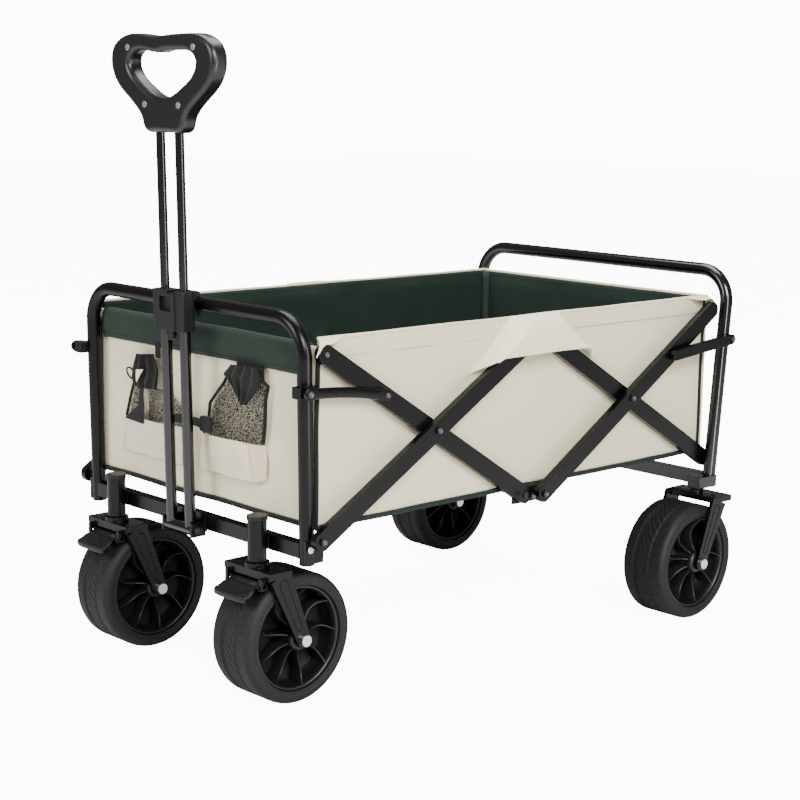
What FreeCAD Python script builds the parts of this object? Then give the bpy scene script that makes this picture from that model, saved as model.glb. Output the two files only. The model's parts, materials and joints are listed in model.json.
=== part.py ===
"""Folding beach cart: two steel end frames, crossed side links, telescopic pull handle,
four wide wheels and a fabric tub. Millimetres. X runs to the rear, Z up, floor at Z = 0."""
import FreeCAD, Part
import math
import os
import re

Vector = FreeCAD.Vector
Rotation = FreeCAD.Rotation

doc = FreeCAD.newDocument("BeachCart")
sheet = doc.addObject("Spreadsheet::Sheet", "Dims")

DIMENSIONS = [
    ("hub_x", 18.1, "X of the centre hub, so that the cart is centred on X"),
    # wheels
    ("wheel_radius", 90.0, "tyre outside radius"),
    ("tyre_width", 78.0, "tyre width"),
    ("rim_radius", 71.4, "hub rim outside radius"),
    ("tyre_bore", 71.5, "tyre inside radius"),
    ("rim_inner", 64.0, "hub rim inside radius"),
    ("rim_width", 64.0, "hub rim width"),
    ("rib_width", 50.0, "hub rib width"),
    ("boss_radius", 17.0, "hub boss radius"),
    ("boss_length", 80.0, "hub boss length"),
    ("axle_radius", 6.0, "axle radius"),
    ("running_gap", 0.05, "radial running clearance"),
    ("front_axle_x", -388.7, "front axle from the centre hub"),
    ("rear_axle_x", 333.5, "rear axle from the centre hub"),
    ("front_track", 160.0, "front wheel centre from the middle"),
    ("rear_track", 266.0, "rear wheel centre from the middle"),
    ("front_stem_x", -431.5, "front caster stem from the centre hub"),
    ("rear_stem_x", 375.4, "rear fork stem from the centre hub"),
    # forks
    ("fork_inside", 41.5, "fork leg inner face from the wheel plane"),
    ("fork_leg_t", 6.0, "fork leg thickness"),
    ("fork_leg_w", 22.0, "fork leg width at the axle"),
    ("fork_leg_top", 34.0, "fork leg width under the crown"),
    ("crown_top", 190.0, "top of the fork crown"),
    ("crown_t", 9.0, "crown thickness"),
    ("stem_radius", 8.0, "caster stem radius"),
    ("stem_top", 240.0, "top of the caster stem"),
    ("pedal_pin", 3.0, "brake pedal trunnion radius"),
    ("pedal_ahead", 17.0, "brake pedal pin ahead of the stem"),
    ("pedal_drop", 18.5, "brake pedal pin below the crown top"),
    # end frames
    ("tube_radius", 10.0, "end frame tube radius"),
    ("tube_wall", 1.5, "end frame tube wall"),
    ("bend_radius", 50.0, "end frame bend radius"),
    ("front_half", 235.0, "front leg centre from the middle"),
    ("rear_half", 265.0, "rear leg centre from the middle"),
    ("front_foot_x", -409.5, "front leg at its foot"),
    ("front_foot_z", 203.0, "front leg foot height"),
    ("front_height", 318.0, "front frame, foot to top bar centre"),
    ("front_lean", -1.6, "front frame lean, degrees"),
    ("rear_foot_x", 406.3, "rear leg at its foot"),
    ("rear_foot_z", 195.0, "rear leg foot height"),
    ("rear_height", 342.0, "rear frame, foot to top bar centre"),
    ("rear_lean", 4.7, "rear frame lean, degrees"),
    ("front_cross_z", 221.0, "front cross tube centre height"),
    ("rear_cross_z", 206.0, "rear cross tube centre height"),
    ("cross_depth", 16.0, "cross tube size along X"),
    ("cross_height", 20.0, "cross tube height"),
    ("socket_radius", 13.0, "caster socket outside radius"),
    ("socket_low", 197.0, "underside of the caster socket"),
    ("socket_high", 252.0, "top of the caster socket"),
    # side links
    ("link_w", 25.0, "side link width"),
    ("link_t", 10.0, "side link thickness"),
    ("link_wall", 1.5, "side link wall"),
    ("inner_plane", 249.0, "inner link centre plane from the middle"),
    ("outer_plane", 261.0, "outer link centre plane from the middle"),
    ("hub_pin_x", 14.0, "lower hub pin from the centre"),
    ("hub_pin_z", 240.0, "lower hub pin height"),
    ("mid_x", 205.0, "crossing pin from the centre"),
    ("mid_z", 359.0, "crossing pin height"),
    ("foot_pin_x", 409.2, "foot pin from the centre"),
    ("foot_pin_z", 238.7, "foot pin height"),
    ("top_pin_x", 14.0, "upper hub pin from the centre"),
    ("top_pin_z", 471.5, "upper hub pin height"),
    ("free_end_x", 396.0, "free link end from the centre"),
    ("free_end_z", 478.0, "free link end height"),
    ("pin_radius", 3.0, "pivot pin radius"),
    ("pin_head", 4.9, "pivot pin head radius"),
    ("axle_head", 7.8, "axle head radius"),
    # short links
    ("short_x", 297.0, "short link pin on the side link"),
    ("short_z", 416.3, "height of that pin"),
    ("front_q_x", -431.0, "front short link, frame pin"),
    ("rear_q_x", 424.5, "rear short link, frame pin"),
    ("q_z", 431.5, "short link frame pin height"),
    ("short_w", 16.0, "short link width"),
    ("short_t", 8.0, "short link thickness"),
    # pull handle
    ("pole_half", 20.8, "handle tube from the middle"),
    ("pivot_x", -435.2, "handle pivot from the centre hub"),
    ("pivot_z", 212.0, "handle pivot height"),
    ("handle_lean", -1.8, "handle lean, degrees"),
    ("lower_radius", 7.6, "lower handle tube radius"),
    ("upper_radius", 6.2, "upper handle tube radius"),
    ("lower_length", 318.0, "lower tube length above the pivot"),
    ("upper_start", 215.0, "upper tube lower end above the pivot"),
    ("upper_length", 355.0, "upper tube length"),
    ("collar_low", 274.0, "collar underside above the pivot"),
    ("collar_height", 54.0, "collar height"),
    ("collar_half", 33.0, "collar half width"),
    ("grip_t", 26.0, "grip thickness"),
    # tub
    ("tub_front", -400.2, "tub front face"),
    ("tub_rear", 412.0, "tub rear face"),
    ("tub_half", 240.5, "tub side face from the middle"),
    ("cloth_t", 2.5, "fabric thickness"),
    ("floor_low", 249.0, "underside of the tub floor"),
    ("floor_t", 8.0, "tub floor thickness"),
    ("tub_top", 497.0, "top edge of the tub"),
]

for row, (alias, value, note) in enumerate(DIMENSIONS, start=1):
    sheet.set("A%d" % row, note)
    sheet.set("B%d" % row, str(value))
    sheet.setAlias("B%d" % row, alias)
doc.recompute()

D = {alias: value for alias, value, note in DIMENSIONS}
NAME = re.compile(r"\b(" + "|".join(sorted(D, key=len, reverse=True)) + r")\b")
parts = []


def bind(obj, prop, expr):
    """Drives one property from an expression written with the sheet's names."""
    obj.setExpression(prop, NAME.sub(r"Dims.\1", str(expr)))


def place(obj, x="0", y="0", z="0", turn=None):
    if turn is not None:
        obj.Placement = FreeCAD.Placement(Vector(0, 0, 0), turn)
    bind(obj, "Placement.Base.x", x)
    bind(obj, "Placement.Base.y", y)
    bind(obj, "Placement.Base.z", z)
    return obj


def box(name, lx, ly, lz, x, y, z, turn=None):
    """A box centred on x and y with its underside at z."""
    obj = doc.addObject("Part::Box", name)
    bind(obj, "Length", lx)
    bind(obj, "Width", ly)
    bind(obj, "Height", lz)
    return place(obj, "%s - (%s)/2" % (x, lx), "%s - (%s)/2" % (y, ly), z, turn)


ALONG_Y = Rotation(Vector(1, 0, 0), -90)
ALONG_X = Rotation(Vector(0, 1, 0), 90)


def rod(name, radius, length, x, y, z, turn=None):
    """A cylinder that starts at the point and runs along Z, or along another axis by its turn."""
    obj = doc.addObject("Part::Cylinder", name)
    bind(obj, "Radius", radius)
    bind(obj, "Height", length)
    return place(obj, x, y, z, turn)


def fuse(name, shapes):
    obj = doc.addObject("Part::MultiFuse", name)
    obj.Shapes = shapes
    obj.Refine = True
    return obj


def cut(name, base, tools):
    obj = doc.addObject("Part::Cut", name)
    obj.Base = base
    obj.Tool = tools[0] if len(tools) == 1 else fuse(name + "Tools", tools)
    return obj


def group(name, shapes):
    """Several identical solids in one node."""
    obj = doc.addObject("Part::Compound", name)
    obj.Links = shapes
    return obj


def fillet(name, base, radius, chosen):
    """Rounds the edges that the chosen test picks."""
    doc.recompute()
    obj = doc.addObject("Part::Fillet", name)
    obj.Base = base
    picked = [i for i, edge in enumerate(base.Shape.Edges, start=1) if chosen(edge)]
    obj.Edges = [(i, radius, radius) for i in picked]
    return obj


def node(obj, label):
    obj.Label = label
    parts.append(obj)
    return obj


def side_name(sign):
    return "right" if sign < 0 else "left"


def tag_name(tag):
    """FrontLeft becomes front_left."""
    return re.sub(r"(?<=t|r)(Left|Right)", r"_\1", tag).lower()


# ---------------------------------------------------------------- end frames

QUARTER = Rotation(Vector(1, 1, 1), 120)
QUARTER_FAR = Rotation(Vector(1, 0, 0), 90).multiply(QUARTER)


def u_tube(name, half, height, radius, start):
    """An upright U in its own plane: two legs, two quarter bends and the top bar."""
    shapes = []
    for sign, turn in ((1, QUARTER), (-1, QUARTER_FAR)):
        tag = name + ("L" if sign > 0 else "R")
        leg = rod(tag + "Leg", radius, "%s - bend_radius - %s" % (height, start),
                  "0", "%d*%s" % (sign, half), start)
        bend = doc.addObject("Part::Torus", tag + "Bend")
        bind(bend, "Radius1", "bend_radius")
        bind(bend, "Radius2", radius)
        bend.Angle3 = 90
        place(bend, "0", "%d*(%s - bend_radius)" % (sign, half), "%s - bend_radius" % height, turn)
        shapes += [leg, bend]
    shapes.append(rod(name + "Bar", radius, "2*(%s - bend_radius)" % half,
                      "0", "-(%s - bend_radius)" % half, height, ALONG_Y))
    return fuse(name, shapes)


def leaning(obj, foot_x, foot_z, lean):
    obj.Placement = FreeCAD.Placement(Vector(0, 0, 0), Rotation(Vector(0, 1, 0), 5))
    bind(obj, "Placement.Rotation.Angle", lean)
    bind(obj, "Placement.Base.x", "hub_x + %s" % foot_x)
    bind(obj, "Placement.Base.z", foot_z)
    return obj


def hollow_u(name, half, height):
    outer = u_tube(name + "Outer", half, height, "tube_radius", "0")
    inner = u_tube(name + "Inner", half, height, "tube_radius - tube_wall", "2")
    return cut(name, outer, [inner])


def cross_tube(name, half, x, z):
    outer = box(name + "Outer", "cross_depth", "2*%s" % half, "cross_height", x, "0",
                "%s - cross_height/2" % z)
    inner = box(name + "Inner", "cross_depth - 3", "2*(%s - tube_radius) - 4" % half,
                "cross_height - 3", x, "0", "%s - cross_height/2 + 1.5" % z)
    return outer, inner


front_u = leaning(hollow_u("FrontU", "front_half", "front_height"),
                  "front_foot_x", "front_foot_z", "front_lean")
front_cross, front_cross_hole = cross_tube("FrontCross", "front_half", "hub_x + front_foot_x - 0.5",
                                           "front_cross_z")
front_pieces = [front_u]
front_holes = [front_cross_hole]
for sign in (1, -1):
    tag = "Front" + side_name(sign)
    y_stem = "%d*front_track" % sign
    front_pieces.append(rod(tag + "Socket", "socket_radius", "socket_high - socket_low",
                            "hub_x + front_stem_x", y_stem, "socket_low"))
    front_pieces.append(box(tag + "Weld", "14", "14", "16", "hub_x + front_stem_x + 14", y_stem,
                            "front_cross_z - 8"))
    front_holes.append(rod(tag + "SocketBore", "stem_radius + running_gap",
                           "stem_top - socket_low + 2", "hub_x + front_stem_x", y_stem,
                           "socket_low - 1"))
    # ear in front of the leg that carries the short link's pin
    front_pieces.append(box(tag + "Ear", "30", "17", "15", "hub_x + front_q_x + 8",
                            "%d*(front_half + 9.5)" % sign, "q_z - 7.5"))
    # foot gusset beside the foot pin, and the seat of its rivet
    front_pieces.append(box(tag + "Gusset", "30", "5", "32", "hub_x + front_foot_x + 5",
                            "%d*(front_half + 7)" % sign, "front_foot_z + 2"))
    front_holes.append(rod(tag + "RivetSeat", "4.25", "6", "hub_x + front_foot_x - 3.5",
                           "front_half + 8" if sign > 0 else "-front_half - 14",
                           "front_foot_z + 22", ALONG_Y))
front_weld = fuse("FrontWeld", [front_cross] + front_pieces)
node(cut("FrameFront", front_weld, front_holes), "frame_front")

rear_u = leaning(hollow_u("RearU", "rear_half", "rear_height"),
                 "rear_foot_x", "rear_foot_z", "rear_lean")
rear_cross, rear_cross_hole = cross_tube("RearCross", "rear_half", "hub_x + rear_foot_x + 1",
                                         "rear_cross_z")
rear_pieces = [rear_u]
rear_holes = [rear_cross_hole]
for sign in (1, -1):
    tag = "Rear" + side_name(sign)
    y_stem = "%d*rear_track" % sign
    rear_pieces.append(box(tag + "Shoe", "44", "24", "18", "hub_x + rear_stem_x + 13", y_stem,
                           "socket_low"))
    rear_holes.append(rod(tag + "SocketBore", "stem_radius + running_gap", "15",
                          "hub_x + rear_stem_x", y_stem, "socket_low - 1"))
rear_weld = fuse("RearWeld", [rear_cross] + rear_pieces)
node(cut("FrameRear", rear_weld, rear_holes), "frame_rear")

# plastic caps on top of the caster sockets
caps = []
for sign in (1, -1):
    caps.append(rod("SocketCap" + side_name(sign), "socket_radius + 1", "6", "hub_x + front_stem_x",
                    "%d*front_track" % sign, "socket_high"))
node(group("SocketCaps", caps), "socket_caps")


# ---------------------------------------------------------------- wheels and forks

def wheel(tag, axle_x, track, sign):
    x = "hub_x + " + axle_x
    y = "%d*%s" % (sign, track)
    z = "wheel_radius"

    def disc(name, radius, width):
        return rod(tag + name, radius, width, x, "%s - (%s)/2" % (y, width), z, ALONG_Y)

    tyre_solid = disc("TyreSolid", "wheel_radius", "tyre_width")
    rounded = fillet(tag + "TyreRound", tyre_solid, 13,
                     lambda edge: abs(edge.BoundBox.YLength) < 1e-6 and edge.Length > 100)
    node(cut(tag + "Tyre", rounded, [disc("TyreHole", "tyre_bore", "tyre_width + 2")]),
         "tyre_" + tag_name(tag))

    rim = cut(tag + "Rim", disc("RimSolid", "rim_radius", "rim_width"),
              [disc("RimHole", "rim_inner", "rim_width + 2")])
    shapes = [rim, disc("Web", "rim_inner + 1", "8"), disc("Boss", "boss_radius", "boss_length")]
    for k in range(6):
        rib = doc.addObject("Part::Box", "%sRib%d" % (tag, k))
        bind(rib, "Length", "2*(rim_inner + 1)")
        bind(rib, "Width", "rib_width")
        bind(rib, "Height", "3")
        turn = Rotation(Vector(0, 1, 0), 30.0 * k)
        offset = turn.multVec(Vector(-(D["rim_inner"] + 1), -D["rib_width"] / 2, -1.5))
        place(rib, "%s + (%.6f)*(rim_inner + 1)/%.1f" % (x, offset.x, D["rim_inner"] + 1),
              "%s - rib_width/2" % y,
              "%s + (%.6f)*(rim_inner + 1)/%.1f" % (z, offset.z, D["rim_inner"] + 1), turn)
        shapes.append(rib)
    solid = fuse(tag + "HubSolid", shapes)
    node(cut(tag + "Hub", solid, [disc("HubBore", "axle_radius + running_gap", "boss_length + 2")]),
         "wheel_hub_" + tag_name(tag))

    reach = "(fork_inside + fork_leg_t + 0.05)"
    axle = rod(tag + "AxleBar", "axle_radius", "2*%s" % reach, x, "%s - %s" % (y, reach), z, ALONG_Y)
    head = rod(tag + "AxleHead", "axle_head", "5.5", x, "%s + %s" % (y, reach), z, ALONG_Y)
    far_head = rod(tag + "AxleHeadFar", "axle_head", "5.5", x, "%s - %s - 5.5" % (y, reach), z,
                   ALONG_Y)
    return fuse(tag + "Axle", [axle, head, far_head])


def fork(tag, axle_x, stem_x, track, sign, front):
    """Crown plate, stem and two legs that lean from the crown to the axle."""
    x = "hub_x + " + stem_x
    y = "%d*%s" % (sign, track)
    trail = D[axle_x] - D[stem_x]
    toward = 1 if trail > 0 else -1
    rise = D["crown_top"] - 6 - D["wheel_radius"]
    run = trail - toward * 2
    lean = math.degrees(math.atan2(-run, rise))
    length = math.hypot(run, rise)
    shapes = []
    for face in (1, -1):
        name = tag + ("Outer" if face > 0 else "Inner")
        y_leg = "%s + %d*(fork_inside + fork_leg_t/2)" % (y, face)
        leg = doc.addObject("Part::Wedge", name + "Leg")
        bind(leg, "Xmin", "-fork_leg_w/2")
        bind(leg, "Xmax", "fork_leg_w/2")
        bind(leg, "X2min", "-fork_leg_top/2")
        bind(leg, "X2max", "fork_leg_top/2")
        leg.Ymin = 0
        bind(leg, "Ymax", "%.4f" % length)
        leg.Zmin = leg.Z2min = 0
        bind(leg, "Zmax", "fork_leg_t")
        bind(leg, "Z2max", "fork_leg_t")
        turn = Rotation(Vector(0, 1, 0), lean).multiply(Rotation(Vector(1, 0, 0), 90))
        place(leg, "hub_x + " + axle_x, "%s + fork_leg_t/2" % y_leg, "wheel_radius", turn)
        eye = rod(name + "Eye", "fork_leg_w/2", "fork_leg_t", "hub_x + " + axle_x,
                  "%s - fork_leg_t/2" % y_leg, "wheel_radius", ALONG_Y)
        shapes += [leg, eye]
    wide = "2*(fork_inside + fork_leg_t)"
    centre = "%s + (%d)" % (x, 2 if front else 7)
    shapes.append(box(tag + "Crown", "38" if front else "42", wide, "crown_t", centre, y,
                      "crown_top - crown_t"))
    if front:
        shapes.append(box(tag + "Skirt", "6", "2*fork_inside + 8", "11", "%s - 14" % x, y,
                          "crown_top - 11"))
        for face in (1, -1):
            shapes.append(box("%sLug%d" % (tag, face), "15", "5.2", "17", "%s - 16" % x,
                              "%s + %d*35" % (y, face), "crown_top - 24"))
        shapes.append(rod(tag + "Flange", "socket_radius + 4", "6", x, y, "crown_top"))
        shapes.append(rod(tag + "Stem", "stem_radius", "stem_top - crown_top", x, y, "crown_top"))
    else:
        shapes.append(rod(tag + "Bearing", "socket_radius - 2", "5.5", x, y, "crown_top"))
        shapes.append(rod(tag + "Stem", "stem_radius", "18", x, y, "crown_top"))
    solid = fuse(tag + "ForkSolid", shapes)
    bore = rod(tag + "ForkBore", "axle_radius + running_gap", "%s + 4" % wide, "hub_x + " + axle_x,
               "%s - (%s)/2 - 2" % (y, wide), "wheel_radius", ALONG_Y)
    holes = [bore]
    if front:
        holes.append(rod(tag + "LugBore", "pedal_pin + running_gap", "80",
                         "%s - pedal_ahead" % x, "%s - 40" % y, "crown_top - pedal_drop",
                         ALONG_Y))
    node(cut(tag + "Fork", solid, holes), "fork_" + tag_name(tag))


def pedal(tag, sign):
    """Brake pedal that slopes down and forward from its pin under the front of the crown."""
    x = "hub_x + front_stem_x - pedal_ahead"
    y = "%d*front_track" % sign
    z = "crown_top - pedal_drop"
    turn = Rotation(Vector(0, 1, 0), -24)
    barrel = rod(tag + "PedalBarrel", "5", "64", x, "%s - 32" % y, z, ALONG_Y)
    trunnion = rod(tag + "PedalPin", "pedal_pin", "74", x, "%s - 37" % y, z, ALONG_Y)
    shapes = [barrel, trunnion]
    for name, reach, size, low in (("Plate", 28, (28, 60, 5), -2.5), ("Lip", 34, (8, 60, 9), -5)):
        piece = doc.addObject("Part::Box", tag + "Pedal" + name)
        piece.Length, piece.Width, piece.Height = size
        corner = turn.multVec(Vector(-reach, -size[1] / 2, low))
        place(piece, "%s + %.4f" % (x, corner.x), "%s + %.4f" % (y, corner.y),
              "%s + %.4f" % (z, corner.z), turn)
        shapes.append(piece)
    node(fuse(tag + "Pedal", shapes), "brake_pedal_" + tag_name(tag))


rear_axles = []
for sign in (1, -1):
    side = side_name(sign).capitalize()
    front_axle = wheel("Front" + side, "front_axle_x", "front_track", sign)
    node(front_axle, "axle_front_" + side.lower())
    rear_axles.append(wheel("Rear" + side, "rear_axle_x", "rear_track", sign))
    fork("Front" + side, "front_axle_x", "front_stem_x", "front_track", sign, True)
    fork("Rear" + side, "rear_axle_x", "rear_stem_x", "rear_track", sign, False)
    pedal("Front" + side, sign)
node(group("RearAxles", rear_axles), "axles_rear")


# ---------------------------------------------------------------- side links

def link(tag, start, end, plane, sign, holes, stud=None):
    """Flat bar with round ends between two points of the side, bored for its pins. A stud points
    to the middle of the cart."""
    (x0, z0), (x1, z1) = start, end
    dx = D_value(x1) - D_value(x0)
    dz = D_value(z1) - D_value(z0)
    length = math.hypot(dx, dz)
    slope = -math.degrees(math.atan2(dz, dx))
    y = "%d*%s" % (sign, plane)
    along = Rotation(Vector(0, 1, 0), slope)
    corner = along.multVec(Vector(0, 0, -D["link_w"] / 2))
    bar = doc.addObject("Part::Box", tag + "Bar")
    bind(bar, "Length", "%.4f" % length)
    bind(bar, "Width", "link_t")
    bind(bar, "Height", "link_w")
    place(bar, "hub_x + %s + %.4f" % (x0, corner.x), "%s - link_t/2" % y,
          "%s + %.4f" % (z0, corner.z), along)
    shapes = [bar]
    for k, (px, pz) in enumerate((start, end)):
        shapes.append(rod("%sEnd%d" % (tag, k), "link_w/2", "link_t", "hub_x + " + px,
                          "%s - link_t/2" % y, pz, ALONG_Y))
    if stud:
        low = "%s - link_t/2 - 3.2" % plane if sign > 0 else "-(%s) + link_t/2 - 1" % plane
        shapes.append(rod(tag + "Stud", "pin_radius", "4.2", "hub_x + " + stud[0], low, stud[1],
                          ALONG_Y))
    tools = []
    for k, (px, pz) in enumerate(holes):
        tools.append(rod("%sHole%d" % (tag, k), "pin_radius + running_gap", "link_t + 2",
                         "hub_x + " + px, "%s - link_t/2 - 1" % y, pz, ALONG_Y))
    return cut(tag, fuse(tag + "Solid", shapes), tools)


def D_value(expr):
    """The number that a signed sheet name stands for."""
    text = expr.strip()
    if text.startswith("-1*"):
        return -D[text[3:]]
    return D[text]


for end_name, k in (("front", "-1*"), ("rear", "")):
    foot = (k + "foot_pin_x", "foot_pin_z")
    mid = (k + "mid_x", "mid_z")
    top = (k + "top_pin_x", "top_pin_z")
    hub = (k + "hub_pin_x", "hub_pin_z")
    free = (k + "free_end_x", "free_end_z")
    rising_plane = "outer_plane" if end_name == "front" else "inner_plane"
    falling_plane = "inner_plane" if end_name == "front" else "outer_plane"
    for sign in (1, -1):
        side = side_name(sign)
        tag = end_name.capitalize() + side.capitalize()
        if end_name == "front":
            rise = link("Rise" + tag, foot, top, rising_plane, sign, [foot, mid, top])
        else:
            rise = link("Rise" + tag, foot, top, rising_plane, sign, [foot, mid], stud=top)
        node(rise, "link_foot_to_top_%s_%s" % (end_name, side))
        node(link("Fall" + tag, free, hub, falling_plane, sign, [mid, hub]),
             "link_hub_to_corner_%s_%s" % (end_name, side))


def pin(tag, x, z, near, far, sign, head_in=2.0, head_out=3.0):
    """Pivot pin across the side from near to far, both measured from the middle, with heads."""
    low = near if sign > 0 else "-(%s)" % far
    shank = rod(tag + "Shank", "pin_radius", "(%s) - (%s)" % (far, near), x, low, z, ALONG_Y)
    shapes = [shank]
    for extra, at in ((head_in, near), (head_out, far)):
        if not extra:
            continue
        inward = at == near
        start = "(%s) - %s" % (at, extra) if inward else at
        low = start if sign > 0 else "-(%s) - %s" % (start, extra)
        shapes.append(rod(tag + ("HeadIn" if inward else "HeadOut"), "pin_head", str(extra), x, low,
                          z, ALONG_Y))
    return fuse(tag, shapes)


in_face = "(inner_plane - link_t/2 - 0.1)"
in_back = "(inner_plane + link_t/2 + 0.1)"
out_face = "(outer_plane + link_t/2 + 0.1)"
out_near = "(outer_plane - link_t/2 - 0.1)"

for end_name, k in (("front", "-1*"), ("rear", "")):
    tag = end_name.capitalize()
    node(group("MidPins" + tag,
               [pin("Mid%s%s" % (tag, side_name(s)), "hub_x + %smid_x" % k, "mid_z", in_face,
                    out_face, s, 1.2, 3.0) for s in (1, -1)]), "crossing_pins_" + end_name)

# foot pins: outside the front legs, inside the rear legs
front_foot = [pin("FootFront" + side_name(s), "hub_x - foot_pin_x", "foot_pin_z",
                  "(front_half + tube_radius)", out_face, s, 0, 3.0) for s in (1, -1)]
rear_foot = [pin("FootRear" + side_name(s), "hub_x + foot_pin_x", "foot_pin_z", in_face,
                 "(rear_half - tube_radius)", s, 1.2, 0) for s in (1, -1)]

# lower hub: cross bar under the floor with a plate at each end
bar = rod("CentreBar", "8", "2*(inner_plane - link_t/2 - 3)", "hub_x",
          "-(inner_plane - link_t/2 - 3)", "hub_pin_z", ALONG_Y)
plates = [box("CentrePlate" + side_name(s), "56", "4", "22", "hub_x",
              "%d*(inner_plane - link_t/2 - 2.6)" % s, "hub_pin_z - 14") for s in (1, -1)]
node(fuse("CentreBarSolid", [bar] + plates), "centre_bar")
plate_face = "(inner_plane - link_t/2 - 0.6)"
hub_pins = []
for s in (1, -1):
    hub_pins.append(pin("HubFront" + side_name(s), "hub_x - hub_pin_x", "hub_pin_z", plate_face,
                        in_back, s, 0, 1.4))
    hub_pins.append(pin("HubRear" + side_name(s), "hub_x + hub_pin_x", "hub_pin_z", plate_face,
                        out_face, s, 0, 3.0))
node(group("HubPins", hub_pins), "hub_pins")

# upper hubs: a plate behind the link ends on each side, with the front links' pin and a slot for
# the rear links' stud
for s in (1, -1):
    side = side_name(s)
    tag = "TopHub" + side.capitalize()
    y_plate = "%d*(inner_plane - link_t/2 - 1.8)" % s
    plate = box(tag + "Plate", "56", "2.4", "26", "hub_x", y_plate, "top_pin_z - 13")
    front_pin = pin(tag + "PinFront", "hub_x - top_pin_x", "top_pin_z", plate_face, out_face, s, 0,
                    1.5)
    slot = box(tag + "Slot", "18", "4", "2*(pin_radius + 0.2)", "hub_x + top_pin_x - 4.5", y_plate,
               "top_pin_z - pin_radius - 0.2")
    node(cut(tag, fuse(tag + "Solid", [plate, front_pin]), [slot]), "top_hub_" + side)

# short links between the end frames and the side links
front_short_y = "(inner_plane + link_t/2 + 0.6 + short_t/2)"
for s in (1, -1):
    for end_name in ("front", "rear"):
        tag = "Short%s%s" % (end_name.capitalize(), side_name(s).capitalize())
        if end_name == "front":
            x_q = "front_q_x"
            x_p = -D["short_x"]
            y_p = D["inner_plane"] + D["link_t"] / 2 + 0.6 + D["short_t"] / 2
            y_q = y_p
        else:
            x_q = "rear_q_x"
            x_p = D["short_x"]
            y_p = D["outer_plane"] + D["link_t"] / 2 + 0.6 + D["short_t"] / 2
            y_q = D["rear_half"] + D["tube_radius"] + 1.6 + D["short_t"] / 2
        start = Vector(D[x_q], s * y_q, D["q_z"])
        end = Vector(x_p, s * y_p, D["short_z"])
        axis = end.sub(start)
        length = axis.Length
        axis.normalize()
        across = Vector(0, 1, 0).sub(axis * axis.y)
        across.normalize()
        turn = Rotation(axis, across, axis.cross(across), "XYZ")
        bar = doc.addObject("Part::Box", tag + "Bar")
        bind(bar, "Length", "%.4f" % length)
        bind(bar, "Width", "short_t")
        bind(bar, "Height", "short_w")
        corner = turn.multVec(Vector(0, -D["short_t"] / 2, -D["short_w"] / 2))
        y_q_text = "%.4f" % (s * y_q)
        place(bar, "hub_x + %s + %.4f" % (x_q, corner.x), "%s + %.4f" % (y_q_text, corner.y),
              "q_z + %.4f" % corner.z, turn)
        eye_q = rod(tag + "EyeQ", "short_w/2", "short_t", "hub_x + " + x_q,
                    "%s - short_t/2" % y_q_text, "q_z", ALONG_Y)
        eye_p = rod(tag + "EyeP", "short_w/2", "short_t", "hub_x + %.4f" % x_p,
                    "%.4f - short_t/2" % (s * y_p), "short_z", ALONG_Y)
        solid = fuse(tag + "Solid", [bar, eye_q, eye_p])
        bores = [rod(tag + "HoleQ", "pin_radius + running_gap", "short_t + 4", "hub_x + " + x_q,
                     "%s - short_t/2 - 2" % y_q_text, "q_z", ALONG_Y)]
        node(cut(tag, solid, bores), "short_link_%s_%s" % (end_name, side_name(s)))

q_front = [pin("QFront" + side_name(s), "hub_x + front_q_x", "q_z", "(front_half + 18)",
               "(inner_plane + link_t/2 + 0.8 + short_t)", s, 0, 2.5) for s in (1, -1)]
q_rear = [pin("QRear" + side_name(s), "hub_x + rear_q_x", "q_z", "(rear_half + tube_radius)",
              "(rear_half + tube_radius + 1.8 + short_t)", s, 0, 2.5) for s in (1, -1)]
rivets = [rod("FootRivet" + side_name(s), "4.2", "3.4", "hub_x + front_foot_x - 3.5",
              "front_half + 8.2" if s > 0 else "-front_half - 11.6", "front_foot_z + 22", ALONG_Y)
          for s in (1, -1)]
node(group("FramePinsFront", front_foot + q_front + rivets), "frame_pins_front")
node(group("FramePinsRear", rear_foot + q_rear), "frame_pins_rear")


# ---------------------------------------------------------------- pull handle
# built upright about its pivot, then leaned with the handle

def on_handle(obj):
    """Sets a finished handle piece on the pivot with the handle's lean."""
    obj.Placement = FreeCAD.Placement(Vector(0, 0, 0), Rotation(Vector(0, 1, 0), 5))
    bind(obj, "Placement.Rotation.Angle", "handle_lean")
    bind(obj, "Placement.Base.x", "hub_x + pivot_x")
    bind(obj, "Placement.Base.z", "pivot_z")
    return obj


lower_solid = [rod("LowerBarrel", "lower_radius + 0.8", "2*pole_half + 17", "0",
                   "-pole_half - 8.5", "0", ALONG_Y)]
lower_bores = [rod("LowerPivotBore", "pin_radius + running_gap", "2*pole_half + 20", "0",
                   "-pole_half - 10", "0", ALONG_Y)]
for s in (1, -1):
    lower_solid.append(rod("LowerTube" + side_name(s), "lower_radius", "lower_length", "0",
                           "%d*pole_half" % s, "0"))
    lower_bores.append(rod("LowerBore" + side_name(s), "upper_radius + running_gap",
                           "lower_length - 9", "0", "%d*pole_half" % s, "10"))
node(on_handle(cut("HandleLower", fuse("HandleLowerSolid", lower_solid), lower_bores)),
     "handle_lower_tubes")

for s in (1, -1):
    tube = rod("UpperTube" + side_name(s), "upper_radius", "upper_length", "0",
               "%d*pole_half" % s, "upper_start")
    bore = rod("UpperTubeBore" + side_name(s), "upper_radius - 1.2", "upper_length - 4", "0",
               "%d*pole_half" % s, "upper_start + 2")
    node(on_handle(cut("HandleUpper" + side_name(s), tube, [bore])),
         "handle_upper_tube_" + side_name(s))

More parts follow.
